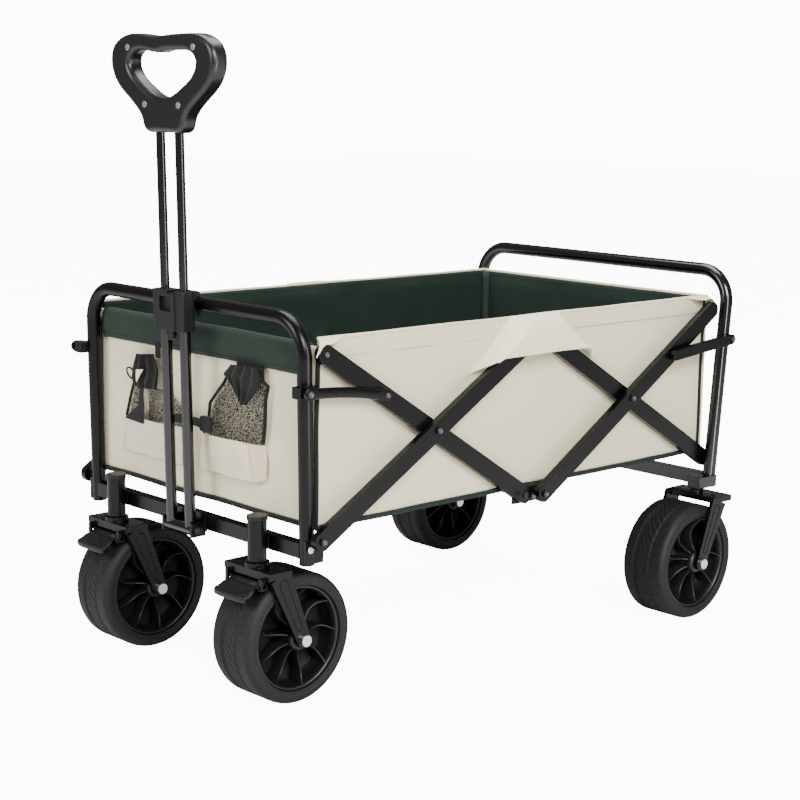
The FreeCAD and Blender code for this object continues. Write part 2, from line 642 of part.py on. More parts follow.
collar_top = "(collar_low + collar_height)"
lean_back = Rotation(Vector(0, 1, 0), -D["handle_lean"])
bar_up = Rotation(Vector(0, 1, 0), D["front_lean"]).multVec(Vector(0, 0, D["front_height"]))
foot_off = Vector(D["front_foot_x"] - D["pivot_x"], 0, D["front_foot_z"] - D["pivot_z"])
seat = lean_back.multVec(foot_off + bar_up)
collar_body = box("CollarBody", "24", "2*collar_half", "collar_height", "-2", "0", "collar_low")
collar_round = fillet("CollarRound", collar_body, 5,
                      lambda edge: edge.BoundBox.ZLength > 40)
collar_jaw = box("CollarJaw", "18", "44", "34", "17", "0", "collar_low + 17")
collar_solid = fuse("CollarSolid", [collar_round, collar_jaw])
collar_tools = []
for s in (1, -1):
    collar_tools.append(rod("CollarLowerBore" + side_name(s), "lower_radius + running_gap",
                            "lower_length - collar_low + 1.1", "0", "%d*pole_half" % s,
                            "collar_low - 1"))
    collar_tools.append(rod("CollarUpperBore" + side_name(s), "upper_radius + 0.2", "20", "0",
                            "%d*pole_half" % s, "%s - 12" % collar_top))
collar_tools.append(rod("CollarBarSeat", "tube_radius + 0.4", "60", "%.4f" % seat.x, "-30",
                        "%.4f" % seat.z, ALONG_Y))
collar_tools.append(box("CollarBarMouth", "20", "60", "2*(tube_radius + 0.4)",
                        "%.4f + 10" % seat.x, "0", "%.4f - tube_radius - 0.4" % seat.z))
collar_tools.append(box("CollarStep", "4", "20", "80", "-14.5", "-26", "collar_low - 10"))
collar_tools.append(box("CollarRecess", "10", "24", "20", "-14", "4", "collar_low + 26"))
collar_tools.append(box("CollarNotch", "40", "14", "10", "0", "-8", "%s - 4" % collar_top))
collar_tools.append(box("TabSlot", "8.8", "9.2", "22", "-4.7", "0", "collar_low - 6"))
node(on_handle(cut("Collar", collar_solid, collar_tools)), "handle_collar")
tab_disc = rod("LockTabDisc", "7.3", "6", "-9", "0", "collar_low - 6.5", ALONG_X)
tab_shank = box("LockTabShank", "6", "9", "21", "-6", "0", "collar_low - 6.5")
tab_low = cut("LockTabTrim", tab_disc, [box("LockTabTop", "20", "30", "20", "-6", "0",
                                            "collar_low - 0.3")])
node(on_handle(fuse("LockTab", [tab_low, tab_shank])), "lock_button")

# fixed bracket on the front cross tube, and the handle's pivot pin
bracket_back = box("BracketBack", "4", "72", "26", "hub_x + pivot_x + 15.2", "0",
                   "front_cross_z - 12")
ears = [box("BracketEar" + side_name(s), "24", "4", "20", "hub_x + pivot_x + 4",
            "%d*(pole_half + 11)" % s, "pivot_z - 9") for s in (1, -1)]
bracket_solid = fuse("BracketSolid", [bracket_back] + ears)
bracket_bore = rod("BracketBore", "pin_radius + running_gap", "80", "hub_x + pivot_x", "-40",
                   "pivot_z", ALONG_Y)
node(cut("Bracket", bracket_solid, [bracket_bore]), "handle_bracket")
pivot_shank = rod("PivotShank", "pin_radius", "2*pole_half + 27", "hub_x + pivot_x",
                  "-pole_half - 13.5", "pivot_z", ALONG_Y)
pivot_heads = [rod("PivotHead" + side_name(s), "pin_head", "3", "hub_x + pivot_x",
                   "pole_half + 13.1" if s > 0 else "-pole_half - 16.1", "pivot_z", ALONG_Y)
               for s in (1, -1)]
node(fuse("PivotPin", [pivot_shank] + pivot_heads), "handle_pivot_pin")


def loop_face(points):
    """Closed smooth outline through points given as (y, z) above the pivot."""
    curve = Part.BSplineCurve()
    curve.interpolate([Vector(0, y, z) for y, z in points], PeriodicFlag=True)
    return Part.Wire(curve.toShape())


def mirrored(half):
    """A left-right symmetric outline from its right half, listed from top to bottom."""
    rest = [(-y, z) for y, z in reversed(half) if abs(y) > 1e-6]
    return half + rest


GRIP_OUTER = mirrored([(0, 661), (50, 663.5), (88, 660), (109, 645), (113, 624), (102, 600),
                       (80, 582), (58, 566), (46, 551), (42, 541), (36, 536.5), (20, 536),
                       (0, 536)])
GRIP_HOLE = mirrored([(0, 640), (38, 642), (62, 639), (72, 628), (66, 613), (44, 597), (20, 585),
                      (0, 581)])
outline = loop_face(GRIP_OUTER)
hole = loop_face(GRIP_HOLE)
half_t = D["grip_t"] / 2
body = Part.Face(outline).extrude(Vector(D["grip_t"], 0, 0))
body.translate(Vector(-half_t, 0, 0))
window = Part.Face(hole).extrude(Vector(D["grip_t"] + 4, 0, 0))
window.translate(Vector(-half_t - 2, 0, 0))
body = body.cut(window)
grip_edges = [edge for edge in body.Edges if edge.BoundBox.XLength < 0.01]
body = body.makeFillet(7.0, grip_edges)
grip_blank = doc.addObject("Part::Feature", "GripBlank")
grip_blank.Shape = body
grip_tools = []
for s in (1, -1):
    grip_tools.append(rod("GripBore" + side_name(s), "upper_radius + running_gap", "50", "0",
                          "%d*pole_half" % s, "521"))
SCREWS = [(71.5, 646.0), (37.0, 572.0)]
for s in (1, -1):
    for k, (y, z) in enumerate(SCREWS):
        grip_tools.append(rod("ScrewBore%d%s" % (k, side_name(s)), "4.05", "3", "-14", str(s * y),
                              str(z), ALONG_X))
node(on_handle(cut("Grip", grip_blank, grip_tools)), "grip")
screws = []
for s in (1, -1):
    for k, (y, z) in enumerate(SCREWS):
        screws.append(rod("Screw%d%s" % (k, side_name(s)), "4", "2.4", "-13.6", str(s * y), str(z),
                          ALONG_X))
node(on_handle(group("GripScrews", screws)), "grip_screws")


# ---------------------------------------------------------------- fabric tub

tub_mid = "hub_x + (tub_front + tub_rear)/2"
tub_len = "(tub_rear - tub_front)"
wall_low = "floor_low"
wall_height = "(tub_top - floor_low)"
node(box("TubFloor", tub_len + " - 2*cloth_t - 0.6", "2*(tub_half - cloth_t - 0.3)", "floor_t",
         tub_mid, "0", "floor_low"), "tub_floor")
for s in (1, -1):
    side = side_name(s)
    wall = box("TubWall" + side, tub_len, "cloth_t", wall_height, tub_mid,
               "%d*(tub_half - cloth_t/2)" % s, wall_low)
    node(wall, "tub_side_" + side)
    flap = box("Flap" + side, "170", "cloth_t", "50", "hub_x",
               "%d*(outer_plane + link_t/2 + 4.6)" % s, "tub_top - 51")
    cover = box("FlapTop" + side, "44", "outer_plane + link_t/2 + 6 - tub_half + cloth_t", "cloth_t",
                "hub_x", "%d*(outer_plane + link_t/2 + 6 + tub_half - cloth_t)/2" % s,
                "tub_top + 0.3")
    hang = box("FlapHang" + side, "44", "cloth_t", "10", "hub_x",
               "%d*(outer_plane + link_t/2 + 4.6)" % s, "tub_top - 5")
    node(fuse("TubFlap" + side, [flap, cover, hang]), "tub_flap_" + side)
end_width = "2*(tub_half - cloth_t - 0.3)"
node(box("TubFront", "cloth_t", end_width, wall_height + " - 8", "hub_x + tub_front + cloth_t/2",
         "0", wall_low), "tub_front")
node(box("TubRear", "cloth_t", end_width, wall_height, "hub_x + tub_rear - cloth_t/2", "0",
         wall_low), "tub_rear")

front_face = "hub_x + tub_front"
node(box("RimBand", "6", "444", "42", front_face + " - 3.3", "0", "448"), "tub_front_band")
POCKETS = [
    ("pocket_left", [(8, 96, 57, 140, 282), (5, 66, 94, 128, 339)]),
    ("pocket_right", [(8, 136, 52, -68, 290), (5, 112, 100, -80, 342)]),
]
for label, layers in POCKETS:
    pieces = []
    for k, (depth, width, height, y, z) in enumerate(layers):
        pieces.append(box("%s_%d" % (label, k), str(depth), str(width), str(height),
                          "%s - %s/2 - 0.3" % (front_face, depth), str(y), str(z)))
    node(fuse("Sewn_" + label, pieces), label)
node(box("PoleStrap", "3", "76", "22", front_face + " - 1.8", "22", "388"), "pole_strap")

# ---------------------------------------------------------------- checks and export

doc.recompute()
faults = []
for obj in doc.Objects:
    if "Invalid" in obj.State or "Error" in obj.State:
        faults.append("%s state %s" % (obj.Name, obj.State))
for obj in parts:
    if obj.Shape.isNull() or not obj.Shape.isValid() or not obj.Shape.Solids:
        faults.append("%s shape" % obj.Label)
if faults:
    raise RuntimeError("; ".join(faults))

os.makedirs("parts", exist_ok=True)
for obj in parts:
    obj.Shape.exportStep("parts/%s.step" % obj.Label)
print("%d nodes" % len(parts))
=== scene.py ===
"""Looks of the folding beach cart: fabric tub, treaded tyres, ribbed hubs and finishes.
Metres. X runs to the rear, -Y is the near side of the camera, Z up, floor at Z = 0."""
import json
import math

import bpy
import numpy as np
from mathutils import Matrix, Vector, noise
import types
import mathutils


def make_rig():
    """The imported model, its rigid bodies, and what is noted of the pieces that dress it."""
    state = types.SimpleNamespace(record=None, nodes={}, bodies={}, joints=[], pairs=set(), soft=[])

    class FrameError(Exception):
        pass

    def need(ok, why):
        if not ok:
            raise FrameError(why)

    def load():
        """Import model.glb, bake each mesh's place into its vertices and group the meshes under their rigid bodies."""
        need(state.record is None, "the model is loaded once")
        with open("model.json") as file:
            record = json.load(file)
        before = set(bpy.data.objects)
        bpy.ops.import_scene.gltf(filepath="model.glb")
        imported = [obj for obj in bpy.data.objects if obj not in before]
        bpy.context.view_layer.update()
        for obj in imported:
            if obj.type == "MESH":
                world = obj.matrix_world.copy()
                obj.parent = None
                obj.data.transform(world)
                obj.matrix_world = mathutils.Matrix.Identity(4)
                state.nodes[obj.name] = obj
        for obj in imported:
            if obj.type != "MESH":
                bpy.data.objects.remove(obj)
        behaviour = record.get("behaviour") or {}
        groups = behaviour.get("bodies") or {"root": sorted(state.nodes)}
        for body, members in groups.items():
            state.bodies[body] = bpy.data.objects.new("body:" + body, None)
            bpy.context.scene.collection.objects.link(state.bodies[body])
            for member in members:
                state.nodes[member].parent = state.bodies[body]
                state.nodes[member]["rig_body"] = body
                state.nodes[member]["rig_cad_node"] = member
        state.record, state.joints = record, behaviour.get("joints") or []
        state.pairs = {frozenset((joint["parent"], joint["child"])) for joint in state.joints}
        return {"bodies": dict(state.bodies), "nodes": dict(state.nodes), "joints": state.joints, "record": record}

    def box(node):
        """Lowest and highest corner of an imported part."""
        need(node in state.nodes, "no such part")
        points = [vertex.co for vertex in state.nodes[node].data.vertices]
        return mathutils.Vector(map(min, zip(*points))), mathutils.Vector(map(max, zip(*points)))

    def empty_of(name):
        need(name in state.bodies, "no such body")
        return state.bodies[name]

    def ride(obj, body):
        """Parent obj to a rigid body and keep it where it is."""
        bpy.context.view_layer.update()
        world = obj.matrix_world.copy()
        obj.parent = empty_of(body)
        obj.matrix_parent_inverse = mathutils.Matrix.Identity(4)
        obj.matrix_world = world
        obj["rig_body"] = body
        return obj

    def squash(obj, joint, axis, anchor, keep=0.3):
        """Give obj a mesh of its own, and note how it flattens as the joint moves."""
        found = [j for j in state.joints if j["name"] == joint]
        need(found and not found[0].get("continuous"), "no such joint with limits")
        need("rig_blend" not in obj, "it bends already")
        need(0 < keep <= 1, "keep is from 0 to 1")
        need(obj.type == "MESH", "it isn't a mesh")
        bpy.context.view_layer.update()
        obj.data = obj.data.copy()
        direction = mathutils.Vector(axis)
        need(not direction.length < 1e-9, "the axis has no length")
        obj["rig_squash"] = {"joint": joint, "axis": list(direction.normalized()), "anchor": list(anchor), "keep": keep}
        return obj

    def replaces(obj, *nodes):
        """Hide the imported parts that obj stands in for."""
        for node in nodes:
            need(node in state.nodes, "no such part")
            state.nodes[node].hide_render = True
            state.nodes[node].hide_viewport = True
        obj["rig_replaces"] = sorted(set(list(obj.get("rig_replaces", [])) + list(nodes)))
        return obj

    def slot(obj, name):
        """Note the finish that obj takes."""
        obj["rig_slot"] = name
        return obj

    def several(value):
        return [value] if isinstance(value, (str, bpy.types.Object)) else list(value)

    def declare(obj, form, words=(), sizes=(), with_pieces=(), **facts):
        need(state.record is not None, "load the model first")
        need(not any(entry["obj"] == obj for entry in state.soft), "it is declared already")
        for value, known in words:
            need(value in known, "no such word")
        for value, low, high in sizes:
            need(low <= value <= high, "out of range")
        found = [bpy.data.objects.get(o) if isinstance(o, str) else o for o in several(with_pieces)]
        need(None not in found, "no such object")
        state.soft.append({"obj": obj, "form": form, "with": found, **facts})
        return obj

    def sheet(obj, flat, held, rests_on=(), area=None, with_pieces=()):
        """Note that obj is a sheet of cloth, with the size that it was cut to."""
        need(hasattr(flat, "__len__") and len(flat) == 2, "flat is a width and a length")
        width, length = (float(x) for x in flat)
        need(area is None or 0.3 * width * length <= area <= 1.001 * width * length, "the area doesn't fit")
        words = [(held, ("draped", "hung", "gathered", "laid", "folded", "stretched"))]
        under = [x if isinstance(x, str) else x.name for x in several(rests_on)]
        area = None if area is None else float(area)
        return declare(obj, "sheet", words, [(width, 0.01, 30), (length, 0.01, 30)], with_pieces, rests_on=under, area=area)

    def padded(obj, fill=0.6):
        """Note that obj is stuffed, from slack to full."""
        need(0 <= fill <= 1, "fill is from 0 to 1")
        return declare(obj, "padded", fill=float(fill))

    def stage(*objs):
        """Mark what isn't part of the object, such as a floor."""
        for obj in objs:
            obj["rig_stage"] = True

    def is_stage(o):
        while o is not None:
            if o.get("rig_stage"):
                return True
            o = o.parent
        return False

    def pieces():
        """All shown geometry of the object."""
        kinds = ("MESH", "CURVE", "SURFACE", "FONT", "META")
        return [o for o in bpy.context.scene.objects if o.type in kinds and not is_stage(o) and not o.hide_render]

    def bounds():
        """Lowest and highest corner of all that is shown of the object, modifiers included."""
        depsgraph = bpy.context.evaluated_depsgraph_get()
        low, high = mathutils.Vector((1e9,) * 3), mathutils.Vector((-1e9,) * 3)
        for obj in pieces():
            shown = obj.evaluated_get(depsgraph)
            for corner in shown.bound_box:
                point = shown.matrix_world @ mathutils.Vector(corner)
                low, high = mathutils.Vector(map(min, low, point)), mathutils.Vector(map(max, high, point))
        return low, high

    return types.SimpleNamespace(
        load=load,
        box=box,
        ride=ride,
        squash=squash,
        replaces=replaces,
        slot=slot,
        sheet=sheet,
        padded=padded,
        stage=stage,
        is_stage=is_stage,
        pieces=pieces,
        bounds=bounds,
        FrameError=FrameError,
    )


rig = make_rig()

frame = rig.load()
cad_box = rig.bounds()

HX = 0.0181                      # centre hub along X
FRONT = HX - 0.4002              # tub front face
REAR = HX + 0.4120               # tub rear face
HALF = 0.2405                    # tub side face from the middle
LOW, TOP = 0.2530, 0.4970        # fabric from bottom seam to top edge
FOLD = dict(joint="fold", axis=(1, 0, 0), anchor=(HX, 0, 0.25), keep=0.39)
SLIDE = dict(FOLD, keep=0.64)    # the flap narrows less than the panel it hangs over


# ---------------------------------------------------------------- materials

def shader(name, color, rough, metal=0.0, spec=0.5, sheen=0.0):
    mat = bpy.data.materials.new(name)
    mat.use_nodes = True
    bsdf = mat.node_tree.nodes["Principled BSDF"]
    bsdf.inputs["Base Color"].default_value = (*color, 1)
    bsdf.inputs["Roughness"].default_value = rough
    bsdf.inputs["Metallic"].default_value = metal
    bsdf.inputs["Specular IOR Level"].default_value = spec
    bsdf.inputs["Sheen Weight"].default_value = sheen
    return mat, mat.node_tree, bsdf


def add(tree, kind, **values):
    node = tree.nodes.new(kind)
    for key, value in values.items():
        if key in node.inputs:
            node.inputs[key].default_value = value
        else:
            setattr(node, key, value)
    return node


def hard(name, color, rough, metal=0.0, spec=0.5, grain=0.0, grain_scale=900.0, edge=0.0012):
    """Paint, moulding or metal with softened edges and a fine grain."""
    mat, tree, bsdf = shader(name, color, rough, metal, spec)
    bevel = add(tree, "ShaderNodeBevel", samples=6, Radius=edge)
    normal = bevel.outputs["Normal"]
    if grain:
        place = add(tree, "ShaderNodeTexCoord")
        speck = add(tree, "ShaderNodeTexNoise", Scale=grain_scale, Detail=2.0)
        tree.links.new(place.outputs["Object"], speck.inputs["Vector"])
        bump = add(tree, "ShaderNodeBump", Strength=grain, Distance=0.0003)
        tree.links.new(speck.outputs["Fac"], bump.inputs["Height"])
        tree.links.new(normal, bump.inputs["Normal"])
        normal = bump.outputs["Normal"]
    tree.links.new(normal, bsdf.inputs["Normal"])
    return mat


def cloth(name, color, shade, rough=0.85, sheen=0.15, weave=0.25):
    """Woven canvas: two close tones in soft clouds and a fine weave."""
    mat, tree, bsdf = shader(name, color, rough, spec=0.25, sheen=sheen)
    place = add(tree, "ShaderNodeTexCoord")
    cloud = add(tree, "ShaderNodeTexNoise", Scale=9.0, Detail=3.0)
    mix = add(tree, "ShaderNodeMix", data_type="RGBA")
    mix.inputs[6].default_value = (*color, 1)
    mix.inputs[7].default_value = (*shade, 1)
    tree.links.new(place.outputs["Object"], cloud.inputs["Vector"])
    tree.links.new(cloud.outputs["Fac"], mix.inputs["Factor"])
    tree.links.new(mix.outputs[2], bsdf.inputs["Base Color"])
    thread = add(tree, "ShaderNodeTexNoise", Scale=1400.0, Detail=1.0)
    tree.links.new(place.outputs["Object"], thread.inputs["Vector"])
    bump = add(tree, "ShaderNodeBump", Strength=weave, Distance=0.0003)
    tree.links.new(thread.outputs["Fac"], bump.inputs["Height"])
    tree.links.new(bump.outputs["Normal"], bsdf.inputs["Normal"])
    return mat


def net(name, color):
    """Knitted net with open cells."""
    mat, tree, bsdf = shader(name, color, 0.7, spec=0.3)
    place = add(tree, "ShaderNodeTexCoord")
    cells = add(tree, "ShaderNodeTexVoronoi", Scale=640.0)
    tree.links.new(place.outputs["Object"], cells.inputs["Vector"])
    open_cell = add(tree, "ShaderNodeMath", operation="LESS_THAN")
    open_cell.inputs[1].default_value = 0.46
    tree.links.new(cells.outputs["Distance"], open_cell.inputs[0])
    clear = add(tree, "ShaderNodeBsdfTransparent")
    mix = add(tree, "ShaderNodeMixShader")
    out = tree.nodes["Material Output"]
    tree.links.new(open_cell.outputs[0], mix.inputs["Fac"])
    tree.links.new(bsdf.outputs[0], mix.inputs[1])
    tree.links.new(clear.outputs[0], mix.inputs[2])
    tree.links.new(mix.outputs[0], out.inputs["Surface"])
    return mat


STEEL = hard("black_coat", (0.0018, 0.0018, 0.0017), 0.27, spec=0.22, grain=0.03)
TUBE = hard("glossy_tube", (0.0022, 0.0022, 0.0021), 0.17, spec=0.60)
MOULDING = hard("black_moulding", (0.0030, 0.0030, 0.0028), 0.44, spec=0.32, grain=0.3,
                grain_scale=1500)
GRIP = hard("grip_moulding", (0.0036, 0.0036, 0.0034), 0.33, spec=0.50, grain=0.08, edge=0.004)
HUB = hard("hub_moulding", (0.0050, 0.0050, 0.0051), 0.40, spec=0.45, grain=0.1)
# darker copy of the hub moulding: painted shade on the walls of the wells and the sides of the ribs
SHADED_HUB = hard("hub_well", (0.0030, 0.0030, 0.0030), 0.60, spec=0.18)
RUBBER = hard("tyre_rubber", (0.0058, 0.0058, 0.0056), 0.62, spec=0.30, grain=0.4, grain_scale=700,
              edge=0.0004)
ZINC = hard("zinc_plate", (0.72, 0.72, 0.71), 0.30, metal=1.0, edge=0.0008)
RIVET = hard("bright_rivet", (0.86, 0.86, 0.85), 0.35, spec=0.6)
PIN = hard("black_rivet", (0.0045, 0.0045, 0.0043), 0.34, spec=0.45)
EYELET = hard("worn_eyelet", (0.085, 0.085, 0.083), 0.35, metal=0.6)
CREAM = cloth("cream_canvas", (0.800, 0.712, 0.512), (0.780, 0.692, 0.492))
# lighter copy of the cream canvas: painted light on the flaps that face the lamps, and a painted highlight on the hems
LIT_CREAM = cloth("cream_painted_light", (0.90, 0.825, 0.635), (0.88, 0.805, 0.615))
SAND = cloth("sand_canvas", (0.74, 0.650, 0.505), (0.720, 0.630, 0.485))
# darker, browner copy of the cream canvas: painted shade on the side of the right pocket
SHADED_CANVAS = cloth("canvas_painted_shade", (0.75, 0.600, 0.440), (0.73, 0.585, 0.430))
GREEN = cloth("green_canvas", (0.0135, 0.0255, 0.0175), (0.0115, 0.0225, 0.0152), sheen=0.06)
LINING = cloth("dark_green_lining", (0.0074, 0.0185, 0.0125), (0.0060, 0.0155, 0.0103), sheen=0.03)
TAPE = cloth("seam_tape", (0.0190, 0.0290, 0.0215), (0.0160, 0.0250, 0.0185), sheen=0.08, weave=0.6)
STITCH = cloth("stitching", (0.50, 0.46, 0.38), (0.48, 0.44, 0.36))
BINDING = cloth("black_binding", (0.0060, 0.0060, 0.0057), (0.0075, 0.0075, 0.0070), sheen=0.08)
NET = net("black_net", (0.016, 0.0155, 0.015))

FINISH = [("tyre", RUBBER), ("wheel_hub", HUB), ("axle", ZINC), ("grip_screws", ZINC),
          ("grip", GRIP), ("handle_collar", MOULDING), ("lock_button", MOULDING),
          ("handle_lower", TUBE), ("handle_upper", TUBE), ("frame_rear", TUBE),
          ("socket_caps", MOULDING), ("brake_pedal", MOULDING), ("handle_pivot_pin", PIN),
          ("hub_pins", PIN), ("frame_pins", PIN), ("crossing_pins", PIN), ("tub_floor", LINING),
          ("tub_front_band", GREEN), ("pole_strap", BINDING), ("tub", CREAM), ("pocket", CREAM)]
for name, obj in frame["nodes"].items():
    chosen = next((mat for start, mat in FINISH if name.startswith(start)), STEEL)
    obj.data.materials.clear()
    obj.data.materials.append(chosen)


# ---------------------------------------------------------------- mesh helpers

def build(name, verts, faces, mats, body, smooth=True, index=None):
    mesh = bpy.data.meshes.new(name)
    mesh.from_pydata([tuple(v) for v in verts], [], [tuple(f) for f in faces])
    for mat in mats:
        mesh.materials.append(mat)
    if index is not None:
        mesh.polygons.foreach_set("material_index", index)
    mesh.polygons.foreach_set("use_smooth", [smooth] * len(mesh.polygons))
    mesh.update()
    obj = bpy.data.objects.new(name, mesh)
    bpy.context.scene.collection.objects.link(obj)
    if body:
        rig.ride(obj, body)
    return obj


def grid_faces(nu, nv, wrap_u=False, wrap_v=False):
    faces = []
    for j in range(nv if wrap_v else nv - 1):
        for i in range(nu if wrap_u else nu - 1):
            a, b = j * nu + i, j * nu + (i + 1) % nu
            c, d = ((j + 1) % nv) * nu + (i + 1) % nu, ((j + 1) % nv) * nu + i
            faces.append((a, b, c, d))
    return faces


def surface(name, point, nu, nv, mats, body="tub", thick=0.0, flip=False):
    """Sheet through point(u, v) with u and v from 0 to 1; a second material goes inside."""
    verts = [point(i / (nu - 1), j / (nv - 1)) for j in range(nv) for i in range(nu)]
    faces = grid_faces(nu, nv)
    if flip:
        faces = [face[::-1] for face in faces]
    obj = build(name, verts, faces, mats, body)
    if thick:
        shell = obj.modifiers.new("thickness", "SOLIDIFY")
        shell.thickness = thick
        shell.offset = -1
        shell.material_offset = len(mats) - 1
    return obj


def sweep(name, path, ring, mats, body="tub", closed=False, caps=True, smooth=True, up=(0, 0, 1)):
    """Carries a closed ring of (side, up) offsets along a path; ring may be a function of t."""
    path = [Vector(p) for p in path]
    count = len(path)
    verts = []
    for k, here in enumerate(path):
        before = path[k - 1] if k or closed else here
        after = path[(k + 1) % count] if k + 1 < count or closed else here
        ahead = (after - before).normalized()
        side = ahead.cross(Vector(up))
        if side.length < 1e-6:
            side = ahead.cross(Vector((0, 1, 0)))
        side.normalize()
        rise = side.cross(ahead).normalized()
        shape = ring(k / max(1, count - 1)) if callable(ring) else ring
        verts += [here + side * a + rise * b for a, b in shape]
    m = len(shape)
    faces = [face[::-1] for face in grid_faces(m, count, wrap_u=True, wrap_v=closed)]
    if caps and not closed:
        faces.append(tuple(range(m)))
        faces.append(tuple((count - 1) * m + i for i in reversed(range(m))))
    return build(name, verts, faces, mats, body, smooth)


def circle(radius, n=12, squash=1.0):
    return [(radius * math.cos(2 * math.pi * i / n), squash * radius * math.sin(2 * math.pi * i / n))
            for i in range(n)]


def rounded(width, height, corner, n=4):
    """Rounded rectangle as ring offsets."""
    out = []
    quarters = ((1, 1, 0), (-1, 1, 90), (-1, -1, 180), (1, -1, 270))
    for cx, cy, start in quarters:
        for k in range(n + 1):
            a = math.radians(start + 90 * k / n)
            out.append((cx * (width / 2 - corner) + corner * math.cos(a),
                        cy * (height / 2 - corner) + corner * math.sin(a)))
    return out


def ease(t):
    t = min(1.0, max(0.0, t))
    return t * t * (3 - 2 * t)


def rumple(x, y, z, scale, seed=0.0):
    return noise.noise(Vector((x * scale + seed, y * scale, z * scale - seed)))


def along(points, t):
    """Point at share t of a polyline given by its corners."""
    k = min(int(t * (len(points) - 1)), len(points) - 2)
    f = t * (len(points) - 1) - k
    return tuple(a + (b - a) * f for a, b in zip(points[k], points[k + 1]))


def squashed(*objs, fold=FOLD):
    for obj in objs:
        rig.squash(obj, **fold)


# ---------------------------------------------------------------- tyres and hubs

TYRE_R, TREAD_HALF = 0.090, 0.0295
SHOULDER = [(0.0320, 0.0896), (0.0345, 0.0886), (0.0366, 0.0868), (0.0380, 0.0843),
            (0.0387, 0.0815), (0.0390, 0.0790), (0.0388, 0.0772), (0.0380, 0.0760),
            (0.0380, 0.0748), (0.0386, 0.0738), (0.0384, 0.0725), (0.0372, 0.0717),
            (0.0345, 0.0716)]


def tread_depth(arc, y):
    """Depth of grooves at arc length round the tyre and distance y from its middle."""
    depth = 0.0
    for line, half in ((-0.0140, 0.0010), (0.0125, 0.0008), (0.0160, 0.0008)):
        depth = max(depth, 0.0018 * ease(1.8 - abs(y - line) / half))
    pitch = 0.01257
    if -0.0130 < y < 0.0115:
        gap = abs(((arc + 1.3 * y + 30 * y * y) / pitch) % 1.0 - 0.5) * pitch
        depth = max(depth, 0.0016 * ease((0.0012 - gap) / 0.0006))
    if 0.0175 < abs(y) < 0.0265:
        gap = abs(((arc - 0.5 * y) / pitch) % 1.0 - 0.5) * pitch
        depth = max(depth, 0.0006 * ease((0.0014 - gap) / 0.0008))
    return depth


def tyre_mesh():
    turns = 400
    flat = [(y, TYRE_R) for y in np.linspace(-TREAD_HALF, TREAD_HALF, 54)]
    ring = [(-y, r) for y, r in reversed(SHOULDER)] + flat + SHOULDER
    verts = []
    for k in range(turns):
        angle = 2 * math.pi * k / turns
        for y, r in ring:
            if r > 0.0866:
                r -= tread_depth(angle * TYRE_R, y)
            verts.append((r * math.cos(angle), y, r * math.sin(angle)))
    return verts, grid_faces(len(ring), turns, wrap_u=True, wrap_v=True)


def lathe(ring, turns=96):
    verts = []
    for k in range(turns):
        angle = 2 * math.pi * k / turns
        verts += [(r * math.cos(angle), y, r * math.sin(angle)) for y, r in ring]
    return verts, grid_faces(len(ring), turns, wrap_u=True, wrap_v=True)


def hub_mesh():
    """Hub with a deep well on each side: rim with lips, thin web, boss and nine curved ribs.
    Gives vertices, faces and the material of each face, 1 for painted shade on the walls of the wells."""
    rim = [(-0.0340, 0.0713), (-0.0352, 0.0705), (-0.0350, 0.0685), (-0.0335, 0.0672),
           (-0.0250, 0.0660), (-0.0060, 0.0650), (-0.0035, 0.0620), (-0.0035, 0.0190),
           (-0.0060, 0.0172), (-0.0330, 0.0165), (-0.0380, 0.0155), (-0.0395, 0.0140),
           (-0.0395, 0.0062)]
    ring = rim + [(-y, r) for y, r in reversed(rim)]
    verts, faces = lathe(ring)
    walls = list(range(4, 9)) + list(range(17, 22))
    shade = [1 if k % len(ring) in walls else 0 for k in range(len(faces))]
    steps, ribs = 14, 9
    for face in (1, -1):
        for k in range(ribs):
            base = len(verts)
            for i in range(steps + 1):
                t = i / steps
                r = 0.0158 + (0.0664 - 0.0158) * t
                angle = math.radians(78 + 360 * k / ribs) - face * 0.16 * math.sin(math.pi * t)
                deep = 0.0335 - 0.0105 * math.sin(math.pi * t) ** 0.8
                half = 0.0010 / r
                for turn, y in ((-half * 1.3, 0.0030), (-half, deep - 0.0005), (-half * 0.4, deep),
                                (half * 0.4, deep), (half, deep - 0.0005), (half * 1.3, 0.0030)):
                    verts.append((r * math.cos(angle + turn), face * y,
                                  r * math.sin(angle + turn)))
            for i in range(steps):
                for j in range(5):
                    a = base + i * 6 + j
                    quad = (a, a + 1, a + 7, a + 6)
                    faces.append(quad if face > 0 else quad[::-1])
                    # the two sides of each rib take the painted shade as well
                    shade.append(1 if j in (0, 4) else 0)
    return verts, faces, shade


def wheels():
    tyre_verts, tyre_faces = tyre_mesh()
    hub_verts, hub_faces, hub_shade = hub_mesh()
    for end in ("front", "rear"):
        for side in ("left", "right"):
            node = "tyre_%s_%s" % (end, side)
            low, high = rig.box(node)
            centre = (low + high) / 2
            body = "%s_wheel_%s" % (end, side)
            for label, verts, faces, mats, shade, slot, old in (
                    ("tread_tyre", tyre_verts, tyre_faces, [RUBBER], None, "tyre", node),
                    ("ribbed_hub", hub_verts, hub_faces, [HUB, SHADED_HUB], hub_shade, "hub_plastic",
                     "wheel_hub_%s_%s" % (end, side))):
                obj = build("%s_%s_%s" % (label, end, side), verts, faces, mats, None, index=shade)
                obj.location = centre
                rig.ride(obj, body)
                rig.slot(obj, slot)
                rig.replaces(obj, old)


wheels()


# ---------------------------------------------------------------- metal details

def turned(name, spots, profile, mat, body, slot, turns=28):
    """Turned details about Y at (x, y, z) spots, with (radius, out) profiles."""
    verts, faces = [], []
    for x, y, z in spots:
        base, out_sign = len(verts), 1 if y > 0 else -1
        for r, out in profile:
            for k in range(turns):
                a = 2 * math.pi * k / turns
                verts.append((x + r * math.cos(a), y + out_sign * out, z + r * math.sin(a)))
        for face in grid_faces(turns, len(profile), wrap_u=True):
            quad = tuple(base + i for i in face)
            faces.append(quad[::-1] if out_sign > 0 else quad)
    obj = build(name, verts, faces, [mat], body)
    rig.slot(obj, slot)
    return obj


